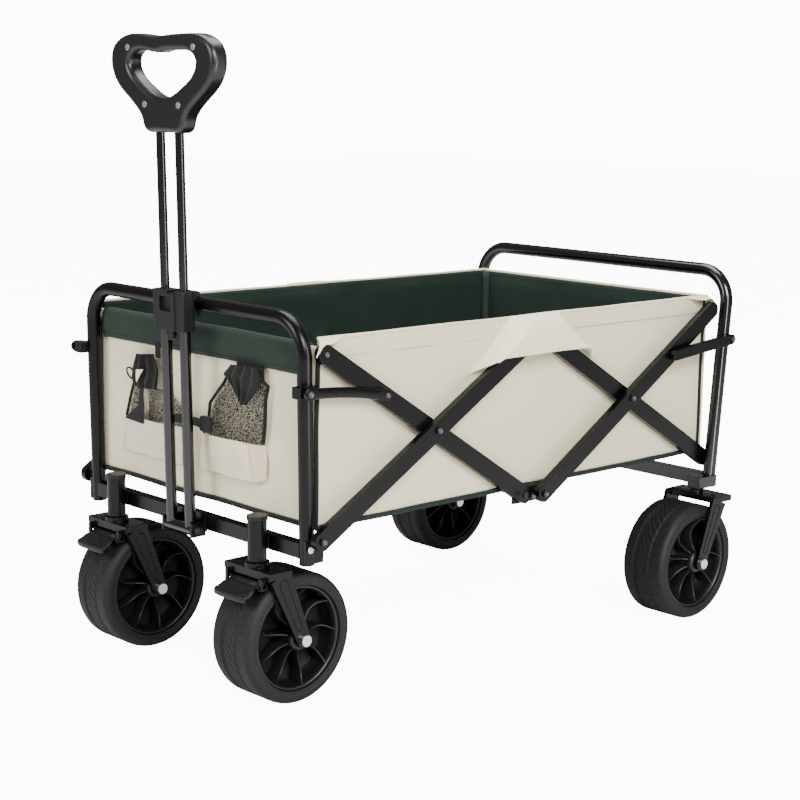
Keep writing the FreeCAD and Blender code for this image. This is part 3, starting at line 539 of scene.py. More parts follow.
EYE = [(0.0036, 0.0002), (0.0036, 0.0009), (0.0031, 0.0013), (0.0026, 0.0012), (0.0022, 0.0005),
       (0.0001, 0.0004)]
DOME = [(0.0047, 0.0001), (0.0045, 0.0009), (0.0036, 0.0018), (0.0022, 0.0024), (0.0001, 0.0026)]


def both(x, y, z):
    """The same spot on both sides, at x from the centre hub."""
    return [(HX + x, y, z), (HX + x, -y, z)]


HEAD_FACE = 0.2691               # outer face of the rivet heads on the crossed links
FRONT_CLEVIS, REAR_CLEVIS = 0.2653, 0.2873
CORNER_FACE = 0.2541             # outer face of the links that end at the tub corners
EYES = [("crossing_front", both(-0.205, HEAD_FACE, 0.359), "front_hub_links"),
        ("crossing_rear", both(0.205, HEAD_FACE, 0.359), "rear_hub_links"),
        ("hub", both(-0.014, HEAD_FACE, 0.240) + both(0.014, HEAD_FACE, 0.240), "hub"),
        ("front_end", both(-0.4092, HEAD_FACE, 0.2387) + both(-0.431, FRONT_CLEVIS, 0.4315),
         "front_end"),
        ("rear_end", both(0.4092, HEAD_FACE, 0.2387) + both(0.4245, REAR_CLEVIS, 0.4315),
         "rear_end")]
for name, spots, body in EYES:
    turned("eyelets_" + name, spots, EYE, EYELET, body, "pin_black")
for end, x in (("front", -0.396), ("rear", 0.396)):
    turned("link_rivets_" + end, both(x, CORNER_FACE, 0.478), EYE, EYELET, end + "_hub_links",
           "pin_black")
turned("foot_rivets", both(-0.4130, 0.2466, 0.2250), DOME, RIVET, "front_end", "zinc")


def short_link(side, sign):
    """Rounded bar with a slight bow and flattened ends."""
    low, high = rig.box("short_link_front_" + side)
    r = 0.008
    a, b = Vector((low.x + r, 0, high.z - r)), Vector((high.x - r, 0, low.z + r))
    outer = high.y if sign > 0 else low.y
    length = (b - a).length
    ahead = (b - a) / length
    path, half = [], []
    for k in range(49):
        d = -r + (length + 2 * r) * k / 48
        reach = min(d + r, length + r - d)
        flat = ease((reach - 0.013) / 0.012)
        wide = math.sqrt(max(r * r - max(0.0, r - reach) ** 2, 1e-8))
        mid = max(0.0, math.sin(math.pi * min(max(d / length, 0), 1)))
        thick = 0.0036 + 0.0058 * flat
        here = a + ahead * d
        path.append((here.x, outer - sign * thick / 2, here.z + 0.0030 * mid))
        half.append((thick, 2 * wide * (1 - 0.12 * flat), flat))

    def ring(t):
        thick, wide, flat = half[round(t * 48)]
        corner = 0.0008 + (min(thick, wide) / 2 * 0.92 - 0.0008) * flat
        return rounded(thick, wide, max(0.00002, min(corner, thick / 2 * 0.98, wide / 2 * 0.98)))

    bar = sweep("bowed_short_link_" + side, path, ring, [STEEL], "front_short_links")
    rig.slot(bar, "black_steel")
    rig.replaces(bar, "short_link_front_" + side)
    turned("short_link_rivet_" + side, [(b.x, outer, b.z)], EYE, EYELET, "front_short_links",
           "pin_black")


def brake_pedal(side):
    """Foot plate with a hollow top, rounded corners and a thick front lip."""
    node = "brake_pedal_front_" + side
    low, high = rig.box(node)
    centre = (low.y + high.y) / 2
    rows = [(high.x - 0.006, high.z - 0.0060, 0.0245), (high.x - 0.012, high.z - 0.0050, 0.0275),
            (high.x - 0.020, high.z - 0.0080, 0.0310), (low.x + 0.010, low.z + 0.0105, 0.0325),
            (low.x + 0.004, low.z + 0.0095, 0.0328), (low.x + 0.0008, low.z + 0.0075, 0.0326),
            (low.x + 0.0004, low.z + 0.0030, 0.0322), (low.x + 0.0012, low.z + 0.0002, 0.0312),
            (low.x + 0.0045, low.z - 0.0008, 0.0300)]

    def point(u, v):
        x, z, half = along(rows, v)
        s = 2 * u - 1
        bow = 0.0028 * abs(s) ** 3 * ease((v - 0.3) / 0.3)
        dish = 0.0022 * (1 - s * s) * math.sin(math.pi * min(1.0, v / 0.62))
        return (x + bow, centre + s * half, z - dish)

    plate = surface("pedal_plate_" + side, point, 33, 43, [MOULDING], "brake_pedal_" + side,
                    thick=0.0040)
    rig.slot(plate, "black_plastic")
    barrel = sweep("pedal_barrel_" + side,
                   [(high.x - 0.0055, centre - 0.0285 + 0.057 * k / 4, high.z - 0.0058)
                    for k in range(5)], circle(0.0052, 20), [MOULDING], "brake_pedal_" + side)
    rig.slot(barrel, "black_plastic")
    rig.replaces(plate, node)


def leg_beads(end, side, sign, body):
    """Raised outline pressed into the outer and inner legs of a fork."""
    low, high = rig.box("tyre_%s_%s" % (end, side))
    axle = (low + high) / 2
    trail = 0.0428 if end == "front" else -0.0419
    lean = 1 if trail > 0 else -1
    top = Vector((axle.x - trail + lean * 0.002, 0, 0.184))
    run = top - Vector((axle.x, 0, axle.z))
    run.y = 0
    length = run.length
    up = run / length
    across = Vector((up.z, 0, -up.x))
    start, stop = 0.020, length - 0.014
    loop = []
    for k in range(17):
        a = math.pi * k / 16
        loop.append((stop + 0.0065 * math.sin(a), -0.0068 * math.cos(a)))
    for k in range(17):
        a = math.pi * k / 16
        loop.append((start - 0.0040 * math.sin(a), 0.0044 * math.cos(a)))
    for face in (1, -1):
        y = axle.y + face * (0.0415 + 0.0060 + 0.0001)
        path = [Vector((axle.x, y, axle.z)) + up * d + across * w for d, w in loop]
        bead = sweep("leg_bead_%s_%s_%s" % (end, side, "outer" if face == sign else "inner"), path,
                     circle(0.0008, 8), [STEEL], body, closed=True, up=(0, 1, 0))
        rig.slot(bead, "black_steel")


for sign, side in ((1, "left"), (-1, "right")):
    short_link(side, sign)
    brake_pedal(side)
    leg_beads("front", side, sign, "caster_" + side)
    leg_beads("rear", side, sign, "rear_end")


# ---------------------------------------------------------------- tub panels

def side_panel(sign, side):
    length = REAR - FRONT

    def outer(u, v):
        x = FRONT + u * length
        z = LOW + v * (TOP + 0.0012 - LOW)
        out = 0.0009 * ease((z - 0.4715) / 0.002)
        edge = ease(u / 0.06) * ease((1 - u) / 0.06) * ease(v / 0.12) * ease((1 - v) / 0.12)
        lower = ease((0.46 - u) / 0.3) * ease((0.62 - v) / 0.35)
        crease = math.sin((x * 0.55 + z) * 62.0 + 2.2 * rumple(x, 0, z, 6.0))
        edge *= 1 - 0.85 * math.exp(-((x - HX) / 0.07) ** 2) * ease((z - 0.41) / 0.03)
        out += edge * (0.0022 * rumple(x, sign, z, 5.0) + 0.0012 * rumple(x, sign, z, 17.0)
                       + 0.0020 * lower * crease)
        return (x, sign * (HALF + out), z)

    panel = surface("tub_side_cloth_" + side, outer, 150, 60, [CREAM, LINING], thick=0.0014,
                    flip=sign > 0)
    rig.slot(panel, "beige_fabric")
    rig.replaces(panel, "tub_side_" + side)
    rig.sheet(panel, flat=(TOP - LOW + 0.002, length), held="stretched",
             rests_on=["link_hub_to_corner_front_" + side, "link_hub_to_corner_rear_" + side])

    def inner(u, v):
        x = FRONT + 0.004 + u * (length - 0.008)
        z = LOW + 0.004 + v * (TOP - 0.005 - LOW)
        edge = ease(u / 0.05) * ease((1 - u) / 0.05) * ease(v / 0.15) * ease((1 - v) / 0.08)
        drop = 0.0035 + edge * (0.0040 * (0.5 + rumple(x, sign + 3, z, 7.0))
                                + 0.0018 * rumple(x * 2.0, sign, z * 0.6, 16.0))
        middle = x - HX - 0.015
        drop += 0.0016 * ease(2.0 - abs(middle) / 0.006)
        for lean in (0.9, 0.35, -0.5, -1.1):
            fold = middle - lean * (z - 0.40)
            drop += 0.0030 * edge * math.exp(-(fold / 0.011) ** 2) * ease((0.46 - z) / 0.08)
        return (x, sign * (HALF - drop), z)

    lining = surface("tub_lining_" + side, inner, 170, 50, [LINING], thick=0.0010, flip=sign < 0)
    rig.slot(lining, "green_fabric")
    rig.sheet(lining, flat=(TOP - LOW, length), held="stretched", rests_on=[panel])

    # hem along the top, stitch line, bottom piping and the binding on the upright edges
    steps = 90
    xs = [FRONT + length * k / steps for k in range(steps + 1)]
    hem = sweep("tub_hem_" + side, [(x, sign * (HALF + 0.0002), TOP + 0.0008 * rumple(x, 0, 0, 9))
                                    for x in xs], rounded(0.0050, 0.0042, 0.0018), [CREAM])
    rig.slot(hem, "beige_fabric")
    line = sweep("hem_stitch_" + side, [(x, sign * (HALF + 0.0006), 0.4712) for x in xs],
                 circle(0.00045, 6), [STITCH])
    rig.slot(line, "beige_fabric")
    piping = sweep("bottom_piping_" + side,
                   [(x, sign * (HALF + 0.0005), 0.2510 + 0.0012 * rumple(x, sign, 0, 14))
                    for x in xs], circle(0.0036, 10), [LINING])
    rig.slot(piping, "green_fabric")
    pieces = [panel, lining, hem, line, piping]
    tape = sweep("corner_tape_" + side,
                 [(REAR - 0.0095, sign * (HALF - 0.0095), LOW + 0.006 + 0.235 * k / 20)
                  for k in range(21)], circle(0.0060, 14), [TAPE], up=(0, 1, 0))
    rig.slot(tape, "green_fabric")
    pieces.append(tape)
    upright = [(REAR - 0.0010, sign * (HALF - 0.0010), 0.2510 + 0.2450 * k / 20)
               for k in range(21)]
    edge = sweep("corner_edge_" + side, upright, circle(0.0026, 12), [CREAM], up=(0, 1, 0))
    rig.slot(edge, "beige_fabric")
    pieces.append(edge)
    for end, x, high in (("front", FRONT, 0.4690), ("rear", REAR - 0.0085, 0.4965)):
        zs = [0.250 + (high - 0.250) * k / 30 for k in range(31)]
        lean = [(x + 0.0015 * rumple(0, sign, z, 12, 4), sign * (HALF + 0.0004), z) for z in zs]
        cord = sweep("corner_binding_%s_%s" % (end, side), lean, circle(0.0030, 10), [BINDING],
                     up=(0, 1, 0))
        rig.slot(cord, "webbing")
        pieces.append(cord)
    squashed(*pieces)


def end_panel(end, x, facing):
    """Front or rear panel; facing is -1 towards the handle and 1 to the rear."""
    width = 2 * HALF - 0.004
    high = TOP - 0.002 if facing > 0 else 0.4870

    def outer(u, v):
        y = -width / 2 + u * width
        z = LOW + v * (high - LOW)
        edge = ease(u / 0.08) * ease((1 - u) / 0.08) * ease(v / 0.15)
        out = edge * (0.0045 * rumple(facing, y, z, 6.5, 2.0) + 0.0028 * rumple(facing, y, z, 15.0))
        out += edge * 0.0016 * math.sin((y * 0.8 + z) * 55 + 3 * rumple(0, y, z, 5)) * ease(
            (0.40 - z) / 0.1)
        return (x + facing * max(out, -0.0015), y, z)

    panel = surface("tub_%s_cloth" % end, outer, 90, 50, [CREAM, LINING], thick=0.0014,
                    flip=facing < 0)
    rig.slot(panel, "beige_fabric")
    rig.replaces(panel, "tub_" + end)
    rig.sheet(panel, flat=(width, high - LOW + 0.002), held="stretched", rests_on=["frame_" + end])

    def inner(u, v):
        y = -width / 2 + 0.003 + u * (width - 0.006)
        z = LOW + 0.004 + v * (high - 0.004 - LOW)
        edge = ease(u / 0.07) * ease((1 - u) / 0.07) * ease(v / 0.15) * ease((1 - v) / 0.1)
        drop = 0.0060 + edge * (0.0045 * (0.6 + rumple(facing + 7, y, z, 8.0))
                                + 0.0015 * rumple(facing, y, z, 20.0))
        return (x - facing * drop, y, z)

    lining = surface("tub_%s_lining" % end, inner, 90, 45, [LINING], thick=0.0010,
                     flip=facing > 0)
    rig.slot(lining, "green_fabric")
    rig.sheet(lining, flat=(width, high - LOW), held="stretched", rests_on=[panel])
    ys = [-width / 2 + width * k / 60 for k in range(61)]
    piping = sweep("bottom_piping_" + end,
                   [(x + facing * 0.0008, y, 0.2515 + 0.0022 * rumple(0, y, 0, 9, facing))
                    for y in ys], circle(0.0036, 10), [BINDING])
    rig.slot(piping, "webbing")
    pieces = [panel, lining, piping]
    if end == "rear":
        hem = sweep("tub_hem_rear", [(x, y, TOP - 0.001) for y in ys],
                    rounded(0.0042, 0.0050, 0.0018), [CREAM])
        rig.slot(hem, "beige_fabric")
        pieces.append(hem)
    squashed(*pieces)


for sign, side in ((1, "left"), (-1, "right")):
    side_panel(sign, side)
end_panel("front", FRONT, -1)
end_panel("rear", REAR, 1)


def floor_cloth():
    length, width = REAR - FRONT - 0.012, 2 * HALF - 0.012

    def top(u, v):
        x, y = FRONT + 0.006 + u * length, -width / 2 + v * width
        edge = ease(u / 0.04) * ease((1 - u) / 0.04) * ease(v / 0.07) * ease((1 - v) / 0.07)
        return (x, y, 0.2565 + edge * (0.0010 + 0.0012 * rumple(x, y, 0, 9.0)))

    cover = surface("tub_floor_cloth", top, 90, 60, [LINING], thick=0.0060)
    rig.slot(cover, "green_fabric")
    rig.replaces(cover, "tub_floor")
    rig.padded(cover, fill=0.8)
    squashed(cover)


floor_cloth()


# ---------------------------------------------------------------- front band

def band():
    profile = [(0.0012, 0.4470), (0.0040, 0.4478), (0.0062, 0.4520), (0.0074, 0.4600),
               (0.0080, 0.4700), (0.0077, 0.4785), (0.0058, 0.4850), (0.0025, 0.4885),
               (-0.0030, 0.4905), (-0.0085, 0.4895), (-0.0122, 0.4860), (-0.0138, 0.4790),
               (-0.0135, 0.4680), (-0.0118, 0.4560), (-0.0070, 0.4500), (-0.0020, 0.4470)]
    centre_z = 0.4690
    half, count = 0.2270, 120
    verts = []
    for k in range(count + 1):
        y = -half + 2 * half * k / count
        inset = min(half - abs(y), 0.008) / 0.008
        size = 0.35 + 0.65 * math.sqrt(max(0.0, 1 - (1 - inset) ** 2))
        for out, z in profile:
            puff = 1 + 0.10 * rumple(0, y, z, 12.0)
            verts.append((FRONT - out * size * puff, y,
                          centre_z + (z - centre_z) * (0.86 + 0.14 * size)
                          + 0.0014 * rumple(0, y, z, 7.0, 5.0)))
    m = len(profile)
    faces = [face[::-1] for face in grid_faces(m, count + 1, wrap_u=True)]
    faces += [tuple(range(m)), tuple(count * m + i for i in reversed(range(m)))]
    roll = build("front_roll_band", verts, faces, [GREEN], "tub")
    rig.slot(roll, "green_fabric")
    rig.replaces(roll, "tub_front_band")
    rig.padded(roll, fill=0.5)
    seam = sweep("band_seam", [(FRONT - 0.0066 + 0.0003 * rumple(0, y / 100, 0, 9), y / 100,
                                0.4545 + 0.0010 * rumple(0, y / 100, 0, 8.0))
                               for y in np.linspace(-22.2, 22.2, 60)], circle(0.0004, 6), [LINING])
    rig.slot(seam, "green_fabric")
    squashed(roll, seam)
    for sign, side in ((1, "left"), (-1, "right")):
        path = [(FRONT - out * 0.95 - 0.0004, sign * (half - 0.0030), z) for out, z in profile[:9]]
        cord = sweep("band_piping_" + side, path, circle(0.0013, 8), [BINDING], up=(0, 1, 0))
        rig.slot(cord, "webbing")
        squashed(cord)


band()


# ---------------------------------------------------------------- flaps over the upper links

def flap(sign, side):
    """Pouch over the upper hub: a shelf out from the rim, a face that widens down and two broad
    side slopes that run back into the panel. Rows are (x of left edge, x of right edge, reach,
    z)."""
    rows = [(-0.030, 0.040, 0.0012, TOP + 0.0008), (-0.027, 0.037, 0.0170, TOP + 0.0002),
            (-0.025, 0.035, 0.0245, TOP - 0.0045), (-0.034, 0.044, 0.0288, TOP - 0.0140),
            (-0.048, 0.058, 0.0304, TOP - 0.0255), (-0.067, 0.076, 0.0306, TOP - 0.0380),
            (-0.086, 0.095, 0.0306, TOP - 0.0500)]

    def point(u, v):
        x0, x1, reach, z = along(rows, v)
        slope = 0.25
        wide = 0.022 + 0.023 * ease(v)
        if u < slope or u > 1 - slope:
            w = (u if u < slope else 1 - u) / slope
            x = x0 - wide * (1 - w) if u < slope else x1 + wide * (1 - w)
            out = 0.0006 + (reach - 0.0006) * ease(w)
            z -= 0.0265 * (1 - w) * ease((v - 0.35) / 0.65)
        else:
            f = (u - slope) / (1 - 2 * slope)
            x = x0 + (x1 - x0) * f
            crown = 0.0016 * math.sin(math.pi * f) * ease(v / 0.5)
            out = reach + crown * (1 + rumple(x, sign, v, 14))
            z += 0.0012 * math.sin(math.pi * f) * ease(v)
        return (HX + x, sign * (HALF + out), z)

    # the flap is the cream canvas made lighter: painted light where it faces the lamps
    cover = surface("flap_cloth_" + side, point, 97, 49, [LIT_CREAM], thick=0.0014, flip=sign > 0)
    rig.slot(cover, "beige_fabric")
    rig.replaces(cover, "tub_flap_" + side)
    # cut: 0.114 at the rim, 0.297 along the hem with both slopes laid out, 0.078 down
    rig.sheet(cover, flat=(0.297, 0.078), area=(0.114 + 0.297) / 2 * 0.078, held="draped",
             rests_on=["link_foot_to_top_front_" + side, "link_foot_to_top_rear_" + side])
    pieces = [cover]
    for k, u in ((0, 0.252), (1, 0.748)):
        path = [Vector(point(u, 0.36 + 0.64 * v / 20)) + Vector((0, sign * 0.0003, 0))
                for v in range(21)]
        # the stitches take the same lighter cream: painted light
        seam = sweep("flap_stitch_%s_%d" % (side, k), path, circle(0.0006, 6), [LIT_CREAM])
        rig.slot(seam, "beige_fabric")
        pieces.append(seam)
    # the hem is the lighter cream: a painted highlight along the lower edge of the flap
    edge = sweep("flap_hem_" + side, [point(0.20 + 0.60 * u / 50, 1.0) for u in range(51)],
                 rounded(0.0024, 0.0026, 0.001), [LIT_CREAM])
    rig.slot(edge, "beige_fabric")
    pieces.append(edge)
    squashed(*pieces, fold=SLIDE)


def corner_cap(sign, side, end, facing):
    """Tongue of fabric folded over the free end of a side link at a top corner."""
    cx, cz = HX + facing * 0.396, 0.478
    radius, turn = (0.0143, 118) if facing < 0 else (0.0160, 128)
    corner = abs(cx - (FRONT if facing < 0 else REAR))

    def edge(t):
        if t < 0.4:
            a, share = math.radians(74), t / 0.4
            return (0.040 * (1 - share) + radius * math.cos(a) * share,
                    (TOP - cz) * (1 - share) + radius * math.sin(a) * share)
        a = math.radians(74 + turn * (t - 0.4) / 0.6)
        wide = radius + (0.0025 if facing > 0 else 0.0) * ease((t - 0.4) / 0.3)
        return (wide * math.cos(a), wide * math.sin(a))

    def point(u, v):
        x, z = edge(u)
        reach = 0.0150 * ease(u / 0.35) * (1 - 0.35 * ease((u - 0.8) / 0.2))
        fold = math.sin(math.pi * v) * 0.0010 + 0.0006 * rumple(u, v, sign, 6.0, facing)
        wall_x, wall_z = max(x, -corner), max(z, 0.0195 - 0.030 * ease((u - 0.75) / 0.25))
        share = ease(v)
        x, z = wall_x + (x - wall_x) * share, wall_z + (z - wall_z) * share
        return (cx - facing * x, sign * (HALF + 0.0006 + reach * v), cz + z + fold)

    cap = surface("corner_cloth_%s_%s" % (end, side), point, 40, 12, [CREAM], thick=0.0011,
                  flip=(sign * facing) < 0)
    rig.slot(cap, "beige_fabric")
    # cut: a 15 mm strip, 36 mm along the rim and then round the end of the link
    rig.sheet(cap, flat=(0.015, 0.036 + radius * math.radians(turn)), held="stretched",
             rests_on=["link_hub_to_corner_%s_%s" % (end, side)])
    # the hem is the lighter cream: a painted highlight along the edge of the tongue
    lip = sweep("corner_hem_%s_%s" % (end, side), [point(k / 40, 1.0) for k in range(41)],
                circle(0.0010, 8), [LIT_CREAM])
    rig.slot(lip, "beige_fabric")
    squashed(cap, lip)


for sign, side in ((1, "left"), (-1, "right")):
    flap(sign, side)
    corner_cap(sign, side, "front", -1)
    corner_cap(sign, side, "rear", 1)


# ---------------------------------------------------------------- front pockets

def patch(name, left, right, bulge, mat, slot, base=0.0030, thick=0.0010, nu=36, nv=30, ripple=0.0,
          held="stretched", full=1.0):
    """Sewn patch between two edges given as (y, z) in mm, from top to bottom, standing off the
    front panel by base plus bulge(u, v)."""
    def point(u, v):
        y0, z0 = along(left, v)
        y1, z1 = along(right, v)
        y, z = (y0 + (y1 - y0) * u) / 1000, (z0 + (z1 - z0) * u) / 1000
        out = base + bulge(u, v) + ripple * rumple(3.0, y, z, 34.0)
        return (FRONT - out, y, z)

    obj = surface(name, point, nu, nv, [mat], thick=thick, flip=False)
    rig.slot(obj, slot)
    # the cut is the outline between the two edges, times full for the cloth its folds take up
    outline = list(left) + list(right)[::-1]
    tall = (max(z for _, z in outline) - min(z for _, z in outline)) / 1000
    wide = full * (max(y for y, _ in outline) - min(y for y, _ in outline)) / 1000
    cut = full * abs(sum(a[0] * b[1] - b[0] * a[1]
                         for a, b in zip(outline, outline[1:] + outline[:1]))) / 2e6
    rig.sheet(obj, flat=(wide, tall), area=cut, held=held, rests_on=["tub_front_cloth"])
    squashed(obj)
    return obj


def puff(amount, top=1.0, low=0.15):
    """Fullness that is greatest at the mouth and flat at the seams."""
    def out(u, v):
        across = max(0.0, math.sin(math.pi * u)) ** 0.55
        return amount * across * (top + (low - top) * ease(v))
    return out


def pockets():
    done = []
    patch("pocket_left_lower", [(166, 341), (176, 312), (180, 288)], [(38, 341), (38, 312), (42, 286)],
          puff(0.0090, 1.0, 0.2), SAND, "beige_fabric", base=0.0032, ripple=0.0016)
    lower = patch("pocket_right_lower", [(-12, 341), (-3, 314), (-5, 290)],
                  [(-120, 342), (-122, 315), (-124, 290)], puff(0.0118, 1.0, 0.25), CREAM,
                  "beige_fabric", base=0.0034, ripple=0.0018)
    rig.replaces(lower, "pocket_right")
    # the gusset's browner cloth is painted shade, standing in for the shadow beside the pocket
    patch("pocket_right_gusset", [(-119, 343), (-121, 315), (-123, 290)],
          [(-142, 344), (-146, 320), (-143, 297)],
          lambda u, v: 0.0090 * (1 - u) ** 0.8 * (1 - 0.6 * v), SHADED_CANVAS, "beige_fabric", base=0.0026,
          ripple=0.0012)
    patch("net_right", [(-86, 444), (-66, 424), (-44, 400), (-29, 378), (-26, 358), (-18, 341)],
          [(-140, 446), (-143, 424), (-146, 402), (-146, 380), (-145, 360), (-141, 344)],
          puff(0.0110, 0.6, 0.75), NET, "webbing", base=0.0050, thick=0.0, ripple=0.0022)
    first = patch("net_left_outer", [(146, 395), (156, 372), (167, 338)],
                  [(124, 394), (128, 370), (133, 336)], puff(0.0040, 0.8, 0.5), NET, "webbing",
                  base=0.0065, thick=0.0, ripple=0.0016)
    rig.replaces(first, "pocket_left")
    patch("net_left_inner", [(118, 388), (116, 362), (116, 331)], [(70, 390), (39, 371), (39, 332)],
          puff(0.0060, 0.8, 0.5), NET, "webbing", base=0.0050, thick=0.0, ripple=0.0030)

    def pleats(amount, count):
        return lambda u, v: amount * (0.6 + 0.4 * math.sin(count * math.pi * u + 2 * v)) \
            * max(0.0, math.sin(math.pi * u)) ** 0.5

    patch("gather_right", [(-82, 446), (-66, 431), (-88, 414), (-108, 398)],
          [(-141, 448), (-143, 424), (-128, 410), (-113, 396)], pleats(0.0070, 7), BINDING,
          "webbing", base=0.0130, ripple=0.0040, held="gathered", full=1.2)
    patch("gather_left", [(137, 433), (146, 411), (149, 398), (143, 386)],
          [(99, 437), (86, 415), (85, 398), (88, 388)], pleats(0.0060, 6), BINDING, "webbing",
          base=0.0100, ripple=0.0040, held="gathered", full=1.2)
    patch("gather_left_window", [(125, 413), (126, 404), (125, 396)], [(108, 415), (117, 405), (124, 395)],
          lambda u, v: 0.0, CREAM, "beige_fabric", base=0.0195, nu=8, nv=8)
    patch("divider_left", [(124, 388), (126, 362), (160, 338)], [(116, 388), (114, 362), (116, 335)],
          lambda u, v: 0.003, BINDING, "webbing", base=0.0115, ripple=0.0015)
    patch("hanger_left", [(99, 456), (98, 444), (98, 432)], [(86, 456), (86, 444), (86, 432)],
          lambda u, v: 0.0, BINDING, "webbing", base=0.0060, nu=8, nv=12)
    patch("hanger_right", [(-84, 452), (-84, 446), (-84, 440)], [(-140, 453), (-140, 447), (-140, 440)],
          lambda u, v: 0.0, BINDING, "webbing", base=0.0050, nu=12, nv=8)
    for name, line, radius in (
            ("binding_right_edge", [(-140, 447), (-141, 430), (-152, 424), (-147, 406), (-146, 371),
                                    (-143, 347)], 0.0026),
            ("binding_left_edge", [(-68, 430), (-58, 416), (-44, 402), (-29, 386), (-27, 371),
                                   (-24, 356), (-16, 342)], 0.0022),
            ("binding_net_left", [(146, 396), (156, 372), (167, 340), (140, 337), (118, 335)],
             0.0018)):
        path = [along(line, k / 40) for k in range(41)]
        obj = sweep(name, [(FRONT - 0.0075, y / 1000, z / 1000) for y, z in path],
                    rounded(0.0030, radius * 2, 0.0010), [BINDING], up=(1, 0, 0))
        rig.slot(obj, "webbing")
        done.append(obj)
    for name, line, mat in (
            ("pocket_stitch_left", [(180, 289), (42, 287)], STITCH),
            ("pocket_stitch_right", [(-2, 291), (-124, 291)], STITCH),
            ("pocket_hem_left", [(167, 340), (38, 340)], SAND),
            ("pocket_hem_right", [(-14, 341), (-120, 343)], CREAM)):
        full = 0.0092 if "left" in name else 0.0120
        hem = "hem" in name
        path = []
        for k in range(41):
            y, z = along(line, k / 40)
            bow = max(0.0, math.sin(math.pi * k / 40)) ** 0.55 * full * (1.0 if hem else 0.24)
            path.append((FRONT - 0.0036 - bow, y / 1000, z / 1000))
        obj = sweep(name, path, circle(0.0014 if hem else 0.0005, 8), [mat], up=(1, 0, 0))
        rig.slot(obj, "beige_fabric")
        done.append(obj)
    ring = [(FRONT - 0.010 - 0.003 * math.sin(a), 0.152 + 0.0095 * math.cos(a),
             0.403 + 0.0085 * math.sin(a)) for a in np.linspace(0, 2 * math.pi, 33)[:-1]]
    ring = sweep("d_ring", ring, circle(0.0013, 8), [MOULDING], closed=True, up=(1, 0, 0))
    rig.slot(ring, "black_plastic")
    done.append(ring)
    squashed(*done)


pockets()


def pole_strap():
    path = [(0.060, 0.0085), (0.040, 0.0100), (0.018, 0.0110), (0.0, 0.0110), (-0.016, 0.0125),
            (-0.032, 0.0180)]
    pts = [along(path, k / 40) for k in range(41)]
    strap = sweep("strap_webbing", [(FRONT - out, y, 0.3560 - 0.0020 * abs(y) / 0.04)
                                    for y, out in pts], rounded(0.0016, 0.0125, 0.0006), [BINDING])
    tab = sweep("strap_tab", [(FRONT - 0.0215, -0.0275 - 0.0225 * k / 12, 0.3590) for k in range(13)],
                lambda t: rounded(0.0060, 0.0225 - 0.003 * (2 * t - 1) ** 6, 0.0020), [BINDING])
    keeper = sweep("strap_keeper", [(FRONT - 0.0250, 0.0520 - 0.0130 * k / 10, 0.3850)
                                    for k in range(11)], rounded(0.0035, 0.0260, 0.0015), [BINDING])
    for obj in (strap, tab, keeper):
        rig.slot(obj, "webbing")
    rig.replaces(strap, "pole_strap")
    squashed(strap, tab, keeper)


pole_strap()


# ---------------------------------------------------------------- camera, light and floor

LAMPS = [("key", (-1.3, -3.0, 2.4), 1.5, 1.5, 200.0),
         ("front_fill", (-3.0, 0.6, 1.6), 1.2, 1.2, 62.0),
         ("top", (0.2, 0.3, 2.8), 2.0, 2.0, 100.0),
         ("strip", (-0.03, -1.44, 0.60), 0.18, 1.2, 17.0)]


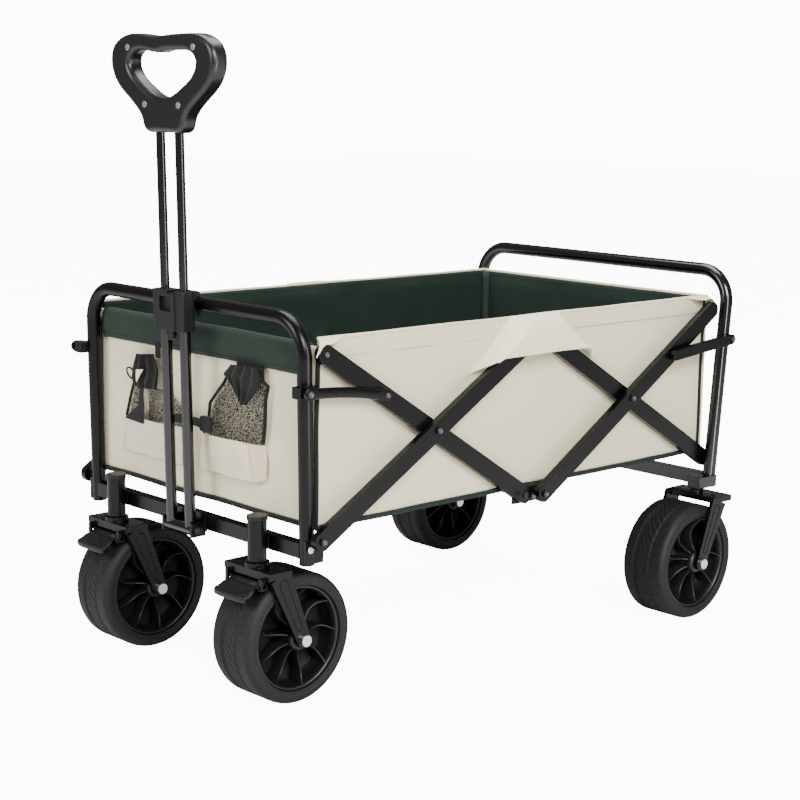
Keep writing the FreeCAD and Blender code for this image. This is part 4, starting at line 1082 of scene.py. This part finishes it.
def studio():
    camera = bpy.data.objects.new("camera", bpy.data.cameras.new("camera"))
    bpy.context.scene.collection.objects.link(camera)
    camera.data.sensor_width = 36.0
    camera.data.lens = 79.27
    yaw, pitch, roll = (math.radians(a) for a in (43.8, -10.1, 1.1))
    ahead = Vector((math.sin(yaw) * math.cos(pitch), math.cos(yaw) * math.cos(pitch),
                    math.sin(pitch)))
    right = Vector((math.cos(yaw), -math.sin(yaw), 0))
    up = right.cross(ahead)
    side = right * math.cos(roll) + up * math.sin(roll)
    rise = up * math.cos(roll) - right * math.sin(roll)
    turn = Matrix((side, rise, -ahead)).transposed()
    camera.matrix_world = Matrix.Translation((-1.8493 + HX, -1.9041, 0.8132)) @ turn.to_4x4()
    bpy.context.scene.camera = camera

    # white surroundings behind the cart, dimmer ones for the light that falls on it
    world = bpy.data.worlds.new("studio")
    world.use_nodes = True
    tree = world.node_tree
    bright = tree.nodes["Background"]
    bright.inputs["Color"].default_value = (1, 1, 1, 1)
    bright.inputs["Strength"].default_value = 12.0
    dim = add(tree, "ShaderNodeBackground", Strength=0.24)
    dim.inputs["Color"].default_value = (1, 1, 1, 1)
    seen = add(tree, "ShaderNodeLightPath")
    mix = add(tree, "ShaderNodeMixShader")
    tree.links.new(seen.outputs["Is Camera Ray"], mix.inputs["Fac"])
    tree.links.new(dim.outputs[0], mix.inputs[1])
    tree.links.new(bright.outputs[0], mix.inputs[2])
    tree.links.new(mix.outputs[0], tree.nodes["World Output"].inputs["Surface"])
    bpy.context.scene.world = world

    for name, place, wide, tall, power in LAMPS:
        lamp = bpy.data.lights.new(name, "AREA")
        lamp.shape = "RECTANGLE"
        lamp.size = wide
        lamp.size_y = tall
        lamp.energy = power
        obj = bpy.data.objects.new(name, lamp)
        bpy.context.scene.collection.objects.link(obj)
        obj.location = place
        obj.visible_diffuse = name != "strip"
        obj.rotation_euler = (Vector((0, 0, 0.35)) - Vector(place)).to_track_quat("-Z", "Y").to_euler()

    pale, tree, bsdf = shader("pale_floor", (0.90, 0.90, 0.90), 0.9, spec=0.0)
    glow = add(tree, "ShaderNodeEmission", Strength=11.0)
    seen = add(tree, "ShaderNodeLightPath")
    dark = add(tree, "ShaderNodeEmission", Strength=0.0)
    pick = add(tree, "ShaderNodeMixShader")
    total = add(tree, "ShaderNodeAddShader")
    tree.links.new(seen.outputs["Is Camera Ray"], pick.inputs["Fac"])
    tree.links.new(dark.outputs[0], pick.inputs[1])
    tree.links.new(glow.outputs[0], pick.inputs[2])
    tree.links.new(bsdf.outputs[0], total.inputs[0])
    tree.links.new(pick.outputs[0], total.inputs[1])
    tree.links.new(total.outputs[0], tree.nodes["Material Output"].inputs["Surface"])
    verts = [(-14, -14, 0), (14, -14, 0), (14, 14, 0), (-14, 14, 0)]
    ground = build("studio_floor", verts, [(0, 1, 2, 3)], [pale], None)
    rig.stage(ground)


studio()

with open("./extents.json", "w") as out:
    json.dump({"cad": [list(p) for p in cad_box], "visual": [list(p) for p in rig.bounds()]}, out)
